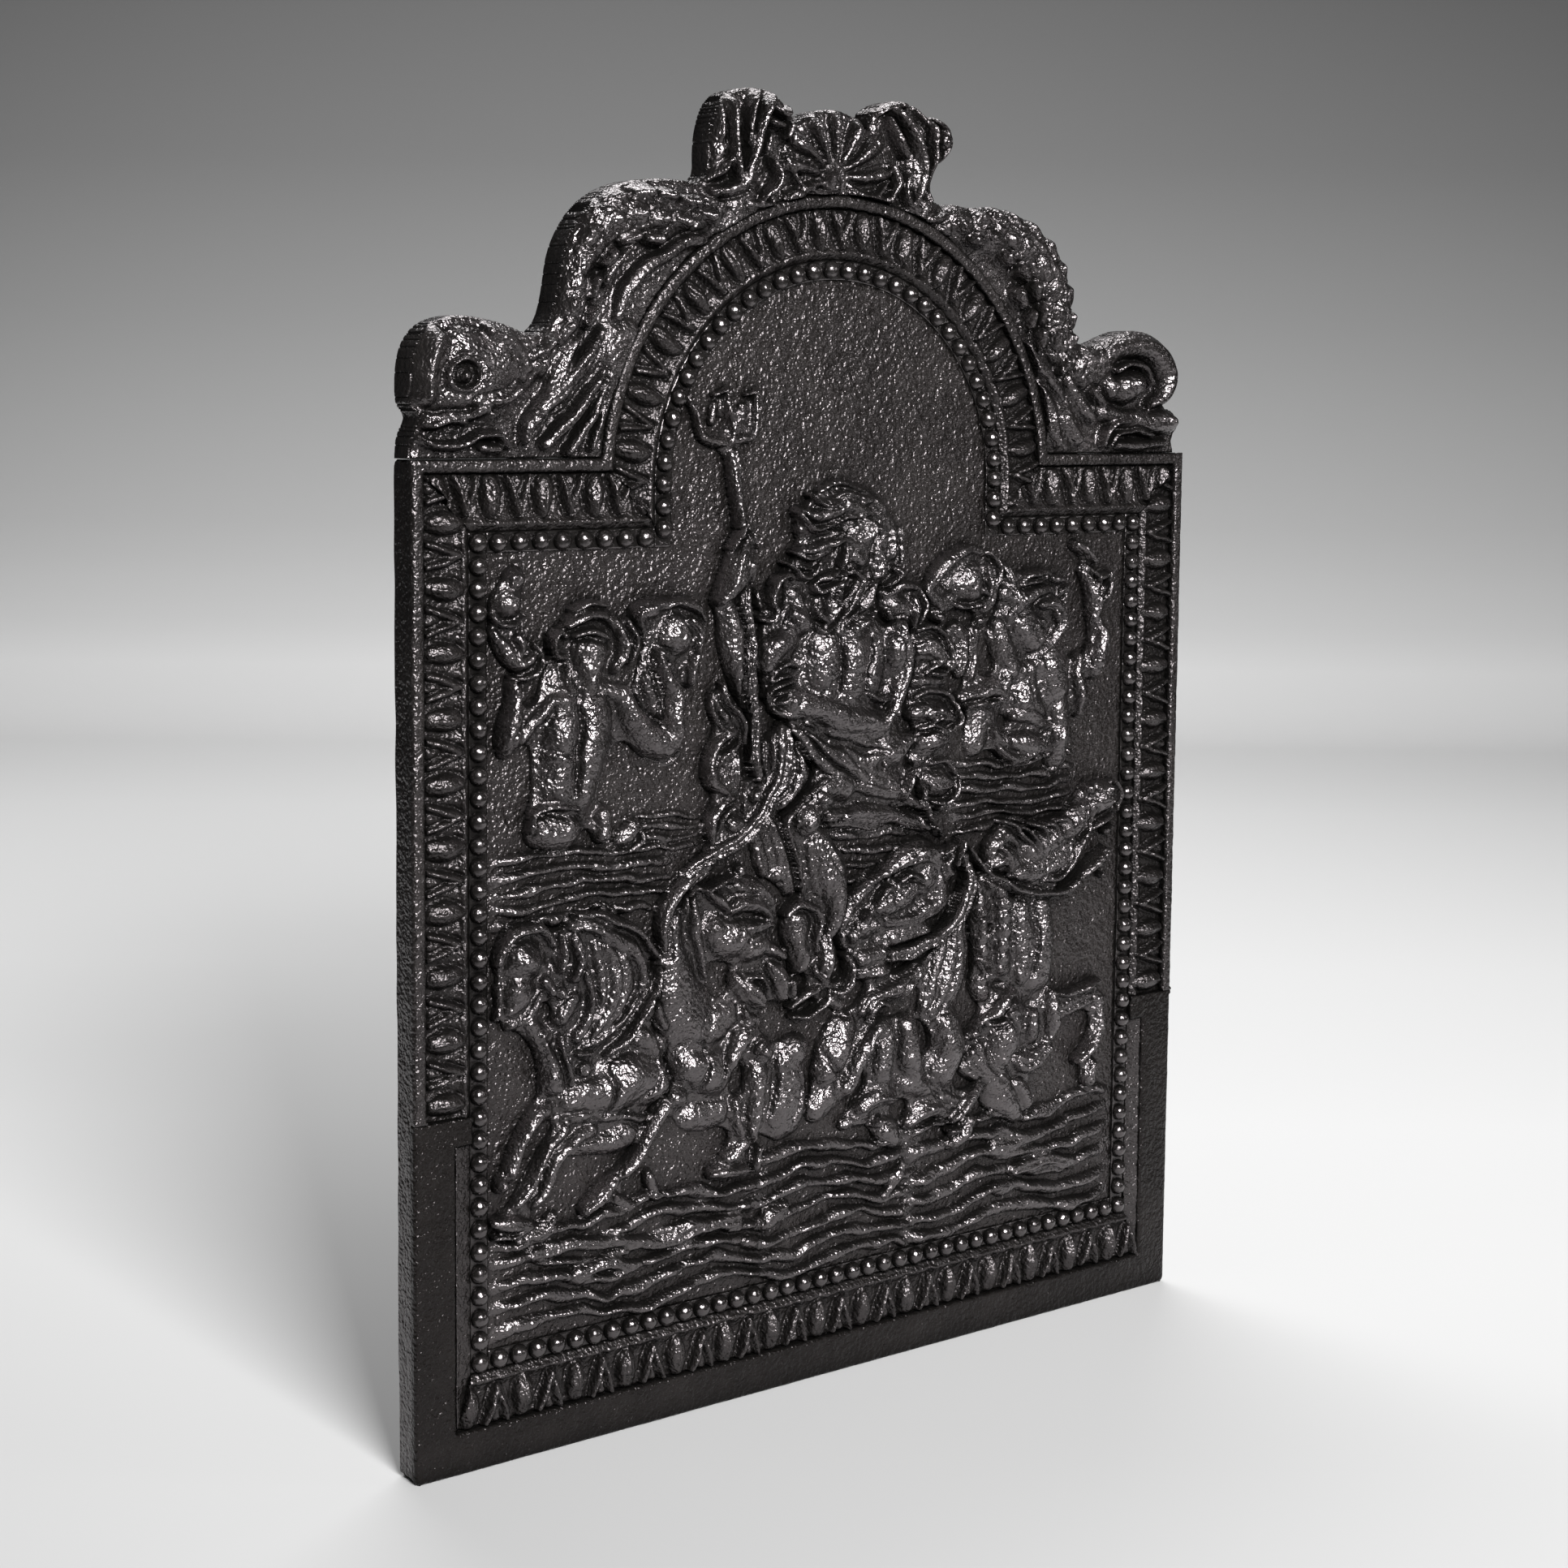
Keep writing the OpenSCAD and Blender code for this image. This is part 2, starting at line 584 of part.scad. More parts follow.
tail_fin_right_limbs = [
    [[44, 4, 7, 8], [46, 28, 7, 9], [34, 40, 7, 9]],
    [[60, 28, 7, 9]],
    [[30, 6, 5, 7], [32, 26, 6, 7]]
];

// Centre and radius of the scallop, and the number of its ribs
shell_centre = [-5, 8];
shell_r = 33;
shell_ribs = 9;
shell_hinge = 8;

// Keeps the part of an outline that stands on the shoulders and round the arch
module over_plate() {
    difference() {
        intersection() {
            children();
            translate([-half_w, shoulder_h]) square([board_w, far]);
        }
        arched_outline(half_w, shoulder_h, arch_r + seam, -1);
    }
}

// A slab as thick as the crest with low carving on its face, both kept inside one outline
module crest_piece() {
    carving_foot = 0.2;
    color(worn) {
        translate([0, depth / 2, 0]) rotate(wall_turn) linear_extrude(crest_t) over_plate() children(0);
        translate([0, depth / 2 - crest_t + carving_foot, 0]) rotate(wall_turn) intersection() {
            children(1);
            linear_extrude(relief_h) over_plate() children(0);
        }
    }
}

module plain_knob(p) {
    translate([p[0], p[1], 0]) dome(p[2], p[3] * crest_deep);
}

module plain_limbs(list) {
    for (points = list) {
        if (len(points) == 1) hull() plain_knob(points[0]);
        else for (i = [0 : len(points) - 2]) hull() {
            plain_knob(points[i]);
            plain_knob(points[i + 1]);
        }
    }
}

module dolphin_place(side) {
    mirror([side < 0 ? 0 : 1, 0, 0]) translate([-half_w, shoulder_h, 0])
        scale([shoulder_x, shoulder_z, 1]) children();
}

module dolphin(side, outline, list) {
    crest_piece() {
        dolphin_place(side) polygon(smooth_outline(outline));
        dolphin_place(side) plain_limbs(list);
    }
}

module fin_outline(outline, side) {
    difference() {
        translate([0, arch_top]) scale([top_scale, top_scale]) polygon(smooth_outline(outline));
        scallop_outline(seam);
        if (side < 0) dolphin_place(-1) polygon(smooth_outline(dolphin_left_outline));
        else dolphin_place(1) polygon(smooth_outline(dolphin_right_outline));
    }
}

module tail_fin(side, outline, list) {
    crest_piece() {
        fin_outline(outline, side);
        translate([0, arch_top, 0]) scale([top_scale, top_scale, 1]) plain_limbs(list);
    }
}

module scallop_outline(grow = 0) {
    translate([shell_centre[0] * top_scale, arch_top + shell_centre[1] * top_scale])
        circle(shell_r + grow, $fn = 48);
}

module scallop_shell() {
    crest_piece() {
        scallop_outline();
        translate([shell_centre[0] * top_scale, arch_top + shell_centre[1] * top_scale, 0]) {
            for (i = [0 : shell_ribs - 1]) rotate(-20 + 220 * i / (shell_ribs - 1)) hull() {
                plain_knob([shell_hinge, 0, 2, 5]);
                plain_knob([shell_r - 4, 0, 4.5, 7]);
            }
            hull() plain_knob([-3, -4, shell_hinge, 9]);
        }
    }
}

// ---- One module for each piece ----

module leaf_moulding_left() { leaf_moulding_side(-1); }
module leaf_moulding_right() { leaf_moulding_side(1); }
module leaf_moulding_shoulder_left() { leaf_moulding_shoulder(-1); }
module leaf_moulding_shoulder_right() { leaf_moulding_shoulder(1); }
module channel_bevel_left() { channel_bevel(-1); }
module channel_bevel_right() { channel_bevel(1); }
module bead_row_left() { bead_line_side(-1); }
module bead_row_right() { bead_line_side(1); }
module bead_row_shoulder_left() { bead_line_shoulder(-1); }
module bead_row_shoulder_right() { bead_line_shoulder(1); }
module dolphin_left() { dolphin(-1, dolphin_left_outline, dolphin_left_limbs); }
module dolphin_right() { dolphin(1, dolphin_right_outline, dolphin_right_limbs); }
module tail_fin_left() { tail_fin(-1, tail_fin_left_outline, tail_fin_left_limbs); }
module tail_fin_right() { tail_fin(1, tail_fin_right_outline, tail_fin_right_limbs); }

module sea_god() { carve() { limbs(sea_god_limbs); limbs(trident_limbs); } }
module trident() { carve() limbs(trident_limbs); }
module cloak() { carve() { limbs(cloak_limbs); limbs(sea_god_limbs); } }
module reins() { carve() { limbs(reins_limbs); limbs(sea_god_limbs); } }
module horse_3() { carve() { limbs(horse_3_limbs); limbs(reins_limbs); limbs(sea_god_limbs); } }
module horse_4() { carve() { limbs(horse_4_limbs); limbs(reins_limbs); limbs(horse_3_limbs); } }
module shell_chariot() {
    carve() {
        limbs(shell_chariot_limbs);
        union() { limbs(sea_god_limbs); limbs(trident_limbs); limbs(reins_limbs); limbs(cloak_limbs); }
    }
}
module horse_2() {
    carve() {
        limbs(horse_2_limbs);
        union() { limbs(sea_god_limbs); limbs(reins_limbs);
            limbs(shell_chariot_limbs); limbs(horse_3_limbs); }
    }
}
module horse_1() { carve() { limbs(horse_1_limbs); limbs(horse_2_limbs); limbs(reins_limbs); } }
module conch_left() { carve() limbs(conch_left_limbs); }
module triton_left() { carve() { limbs(triton_left_limbs); limbs(conch_left_limbs); } }
module nymph() { carve() { limbs(nymph_limbs); limbs(triton_left_limbs); limbs(sea_god_limbs); } }
module conch_right() {
    carve() union() {
        limbs(conch_right_limbs);
        horn_loop();
    }
}
module triton_right() { carve() limbs(triton_right_limbs); }

module waves_left() {
    carve() {
        waves(-198, -94, 254, 286, 4, 2, 70);
        union() { limbs(triton_left_limbs); limbs(horse_1_limbs); limbs(horse_2_limbs);
            limbs(reins_limbs); limbs(shell_chariot_limbs); limbs(nymph_limbs); }
    }
}
module waves_middle() {
    carve() {
        waves(2, 66, 246, 280, 4, 1.5, 90);
        union() { limbs(sea_god_limbs); limbs(horse_3_limbs); limbs(reins_limbs); limbs(shell_chariot_limbs);
            limbs(cloak_limbs); }
    }
}
module waves_right() {
    carve() {
        waves(88, 168, 264, 300, 5, 1.5, 80);
        union() { limbs(triton_right_limbs); limbs(horse_3_limbs); limbs(horse_4_limbs);
            limbs(reins_limbs); limbs(cloak_limbs); }
    }
}
module waves_low() {
    carve() {
        waves(-196, 196, 64, 112, 5, 3, 120);
        union() { limbs(horse_1_limbs); limbs(horse_2_limbs); limbs(horse_3_limbs); limbs(horse_4_limbs); }
    }
}

arched_board();
plain_margin();
rim_bar();
leaf_moulding_left();
leaf_moulding_right();
leaf_moulding_foot();
leaf_moulding_shoulder_left();
leaf_moulding_shoulder_right();
leaf_moulding_arch();
channel_bevel_left();
channel_bevel_right();
bead_row_left();
bead_row_right();
bead_row_foot();
bead_row_shoulder_left();
bead_row_shoulder_right();
bead_row_arch();
dolphin_left();
dolphin_right();
tail_fin_left();
tail_fin_right();
scallop_shell();
sea_god();
trident();
cloak();
shell_chariot();
reins();
horse_1();
horse_2();
horse_3();
horse_4();
triton_left();
conch_left();
triton_right();
conch_right();
nymph();
waves_left();
waves_right();
waves_middle();
waves_low();
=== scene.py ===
# Looks of the arched cast iron fireback: the carved scene, the crest, the leaf mouldings and the beads
import json
import math
import bpy
import numpy as np
from mathutils import Matrix


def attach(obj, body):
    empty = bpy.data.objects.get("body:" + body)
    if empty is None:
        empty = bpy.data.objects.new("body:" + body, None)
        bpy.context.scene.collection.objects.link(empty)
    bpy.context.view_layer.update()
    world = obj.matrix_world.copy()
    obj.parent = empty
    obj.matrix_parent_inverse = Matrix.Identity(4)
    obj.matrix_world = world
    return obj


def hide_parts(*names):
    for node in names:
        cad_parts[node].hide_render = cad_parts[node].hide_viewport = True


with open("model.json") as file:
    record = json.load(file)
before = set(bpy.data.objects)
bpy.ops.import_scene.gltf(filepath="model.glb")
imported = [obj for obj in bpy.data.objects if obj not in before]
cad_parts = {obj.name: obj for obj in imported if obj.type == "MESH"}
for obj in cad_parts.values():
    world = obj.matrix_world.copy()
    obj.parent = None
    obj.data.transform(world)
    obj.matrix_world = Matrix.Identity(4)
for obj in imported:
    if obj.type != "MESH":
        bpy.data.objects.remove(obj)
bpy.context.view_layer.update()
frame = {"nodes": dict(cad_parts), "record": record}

scene = bpy.context.scene
mm = 0.001

# Lines of the plate in mm: outline, depths (y), margin, and the line between leaves and beads
plate = {"halfWidth": 240, "shoulder": 468, "archCentre": 455, "archRadius": 140, "corner": 3,
         "back": 13, "ground": 1, "crestGround": -1, "bandUnder": 1.5, "rim": 6.5, "rimHeight": 4.5,
         "marginTop": 168, "marginInner": 218.5, "marginFoot": 20, "bevelTop": 155,
         "sideInner": 209.5, "shoulderInner": 435, "archInner": 108.5, "footInner": 45.5, "fieldHalf": 200}
sides = ((-1, "left"), (1, "right"))


# The relief is the highest of many rounded strokes. A stroke is (kind, option, points), and a point is
# [x, z, half width, height over the ground] in mm. Kinds: round is a swelling limb, strap a flat-topped
# band, comb a limb cut into strands (option = how many), ribs a limb crossed by ribs (option = spacing
# in mm), add a swelling on what is there, and cut a groove in it
strokeLook = {"thinnest": 0.4, "steep": 0.82, "strapSteep": 0.9, "addPower": 1.5, "combShare": 0.30,
              "combByWidth": 0.55, "combLeast": 0.5, "ribShare": 0.22, "ribBySpacing": 0.3, "crease": 0.7,
              "wide": 4.6, "raised": 0.4, "ownMoat": 0.9, "thinMoat": 0.55, "thinMoatMost": 1.5,
              "beside": 0.97, "lowest": 0.25, "edge": 0.01}


# Catmull-Rom spline: between points b and c of four neighbours a b c d, half of
# 2b + (c-a)t + (2a-5b+4c-d)t^2 + (3b-a-3c+d)t^3, at evenly spaced t
def splineBlend(a, b, c, d, steps):
    t = np.linspace(0, 1, steps, endpoint=False)[None, :, None]
    return 0.5 * (2 * b + (c - a) * t + (2 * a - 5 * b + 4 * c - d) * t**2 + (3 * b - a - 3 * c + d) * t**3)


# A spline through the points of an open path, which goes on straight at both ends
def smoothPath(points, steps):
    p = np.array(points, float)
    if len(p) < 2:
        return p
    wide = np.vstack([2 * p[0] - p[1], p, 2 * p[-1] - p[-2]])
    neighbours = (wide[i:len(wide) - 3 + i, None] for i in range(4))
    curve = splineBlend(*neighbours, steps)
    return np.vstack([curve.reshape(-1, p.shape[1]), p[-1:]])


# For each grid point: distance to the path over the half width there (u), signed side (v),
# length along the path (s), half width (w) and height (h) at the nearest spot
def nearestOnPath(gx, gz, path):
    if len(path) == 1:
        path = np.vstack([path, path + [0.01, 0, 0, 0]])
    a, b = path[:-1], path[1:]
    dx, dz = b[:, 0] - a[:, 0], b[:, 1] - a[:, 1]
    long = np.hypot(dx, dz) + 1e-6
    px, pz = gx.ravel()[:, None] - a[:, 0], gz.ravel()[:, None] - a[:, 1]
    t = np.clip((px * dx + pz * dz) / long**2, 0, 1)
    w = np.maximum(a[:, 2] + (b[:, 2] - a[:, 2]) * t, strokeLook["thinnest"])
    u = np.hypot(px - t * dx, pz - t * dz) / w
    k = np.argmin(u, axis=1)
    row = np.arange(len(k))
    tk = t[row, k]
    side = (px[row, k] * dz[k] - pz[row, k] * dx[k]) / long[k] / w[row, k]
    along = (np.cumsum(long) - long)[k] + tk * long[k]
    h = a[k, 3] + (b[k, 3] - a[k, 3]) * tk
    return [q.reshape(gx.shape) for q in (u[row, k], np.clip(side, -1.3, 1.3), along, w[row, k], h)]


# Dome profile: a circle's arc, steep at the foot, that goes on straight below the ground past u = 1
def dome(u, steep):
    foot = np.sqrt(1 - steep**2)
    inside = (np.sqrt(np.maximum(1 - (steep * np.minimum(u, 1))**2, 0)) - foot) / (1 - foot)
    return np.where(u <= 1, inside, -(u - 1) * steep**2 / foot / (1 - foot))


# Height of a stroke: its dome or flat top, less the creases between strands or ribs, which follow |sin|
def strokeHeight(kind, option, u, v, s, w, h):
    look = strokeLook
    if kind == "strap":
        return h * np.where(u < 1, np.maximum(1 - u**6, 0)**0.5, dome(u, look["strapSteep"]))
    shape = h * dome(u, look["steep"])
    if kind == "comb":
        depth = np.minimum(look["combShare"] * h, look["combByWidth"] * w / option + look["combLeast"])
        wave = np.abs(np.sin(np.pi * option * (v + 1) / 2 + 0.5 * np.sin(s / (3 * w.mean()))))
        return shape - depth * (1 - wave**look["crease"]) * (np.abs(v) < 1)
    if kind == "ribs":
        depth = np.minimum(look["ribShare"] * h, option * look["ribBySpacing"])
        wave = np.abs(np.sin(np.pi * (s - 2.0 * v * v) / option))
        return shape - depth * (1 - wave**look["crease"])
    return shape


# Lays one stroke on the field: the higher of the two surfaces, blended where they are close, with a moat (a
# bell curve of the way past the stroke's edge) sunk around it. Owner takes the number of the figure on top
def layStroke(field, owner, grid, stroke, number, look, warp):
    kind, option, points = stroke
    path = smoothPath(points, look["steps"])
    x0, z0, step = grid
    reach = path[:, 2].max() + look["moatWidth"] * 2 + 1
    i0 = max(int((path[:, 0].min() - reach - x0) / step), 0)
    i1 = min(int((path[:, 0].max() + reach - x0) / step) + 2, field.shape[1])
    j0 = max(int((path[:, 1].min() - reach - z0) / step), 0)
    j1 = min(int((path[:, 1].max() + reach - z0) / step) + 2, field.shape[0])
    if i1 <= i0 or j1 <= j0:
        return
    gx, gz = np.meshgrid(x0 + step * np.arange(i0, i1), z0 + step * np.arange(j0, j1))
    here = field[j0:j1, i0:i1]
    mine = owner[j0:j1, i0:i1]
    u, v, s, w, h = nearestOnPath(gx + warp[0][j0:j1, i0:i1], gz + warp[1][j0:j1, i0:i1], path)
    if kind == "add":
        here += np.where(mine == number, h * np.maximum(1 - u**2, 0)**strokeLook["addPower"], 0)
        return
    if kind == "cut":
        here += np.where(mine == number, -h * np.maximum(1 - u**2, 0), 0)
        return
    shape = np.maximum(strokeHeight(kind, option, u, v, s, w, h), look["sunk"])
    raised = here > strokeLook["raised"]
    same = (mine == number) & raised
    wideStroke = path[:, 2].max() > strokeLook["wide"]
    thin = np.minimum(strokeLook["thinMoat"] * w, strokeLook["thinMoatMost"])
    depth = np.where(same, strokeLook["ownMoat"] if wideStroke else thin, look["moatDepth"])
    moat = depth * np.exp(-((np.maximum(u - 1, 0) * w) / look["moatWidth"])**2)
    beside = (u > strokeLook["beside"]) & raised
    lowered = np.where(beside, np.maximum(here - moat, strokeLook["lowest"]), here)
    gap = shape - lowered
    soft = np.where(same & wideStroke, look["melt"], look["blend"])
    blend = np.maximum(soft - np.abs(gap), 0)**2 / (4 * soft)
    floor = look["sunk"] + strokeLook["edge"]
    here[:] = np.where(gap > 0, shape, lowered) + np.where((shape > floor) & (lowered > floor), blend, 0)
    mine[gap > 0] = np.where(shape[gap > 0] > floor, number, mine[gap > 0])


# Blurs a field: its frequencies are weighted by a bell curve, and what is smaller than size steps goes
def softened(field, size):
    fz = np.fft.fftfreq(field.shape[0])[:, None]
    fx = np.fft.fftfreq(field.shape[1])[None, :]
    return np.fft.ifft2(np.fft.fft2(field) * np.exp(-(fx**2 + fz**2) * (size * np.pi)**2 / 2)).real


# Repeatable unevenness of a casting: blurred noise with bumps about size steps wide, scaled to spread 1
def unevenness(shape, size, seed):
    soft = softened(np.random.default_rng(seed).standard_normal(shape), size)
    return soft / soft.std()


# Two fields of unevenness that shift a stroke's outline in x and z
def warpFields(shape, amount, size, seeds):
    return [amount * unevenness(shape, size, seed) for seed in seeds]


# Strokes by kind, as a row of numbers, four for a point: x, z, half width and height over the ground, in mm
def limb(*row):
    return ("round", 0, np.reshape(row, (-1, 4)))


def strap(*row):
    return ("strap", 0, np.reshape(row, (-1, 4)))


def lock(strands, *row):
    return ("comb", strands, np.reshape(row, (-1, 4)))


def ribbed(spacing, *row):
    return ("ribs", spacing, np.reshape(row, (-1, 4)))


def swell(*row):
    return ("add", 0, np.reshape(row, (-1, 4)))


def groove(*row):
    return ("cut", 0, np.reshape(row, (-1, 4)))


# Rows of water: spacing of the points in mm, shift from row to row, and the ranges that are drawn from
waterLook = {"spacing": 9, "shift": 0.5, "wander": (-0.9, 0.9), "wide": (0.24, 0.42), "tall": (0.55, 1.15),
             "ends": 0.6}


# Waves between two heights: each strand is a sine along x whose place, width and height wander a little
def waterRows(x0, x1, z0, z1, rows, swing, length, high, seed):
    look = waterLook
    random = np.random.default_rng(seed)
    strokes = []
    for row in range(rows):
        x = np.linspace(x0, x1, int((x1 - x0) / look["spacing"]))
        z = z0 + (z1 - z0) * row / (rows - 1) + swing * np.sin(2 * np.pi * x / length + look["shift"] * row)
        z = z + random.uniform(*look["wander"], x.size)
        wide = (z1 - z0) / (rows - 1) * random.uniform(*look["wide"], x.size)
        tall = high * random.uniform(*look["tall"], x.size)
        tall[0] = tall[-1] = look["ends"]
        strokes.append(("round", 0, np.stack([x, z, wide, tall], 1)))
    return strokes


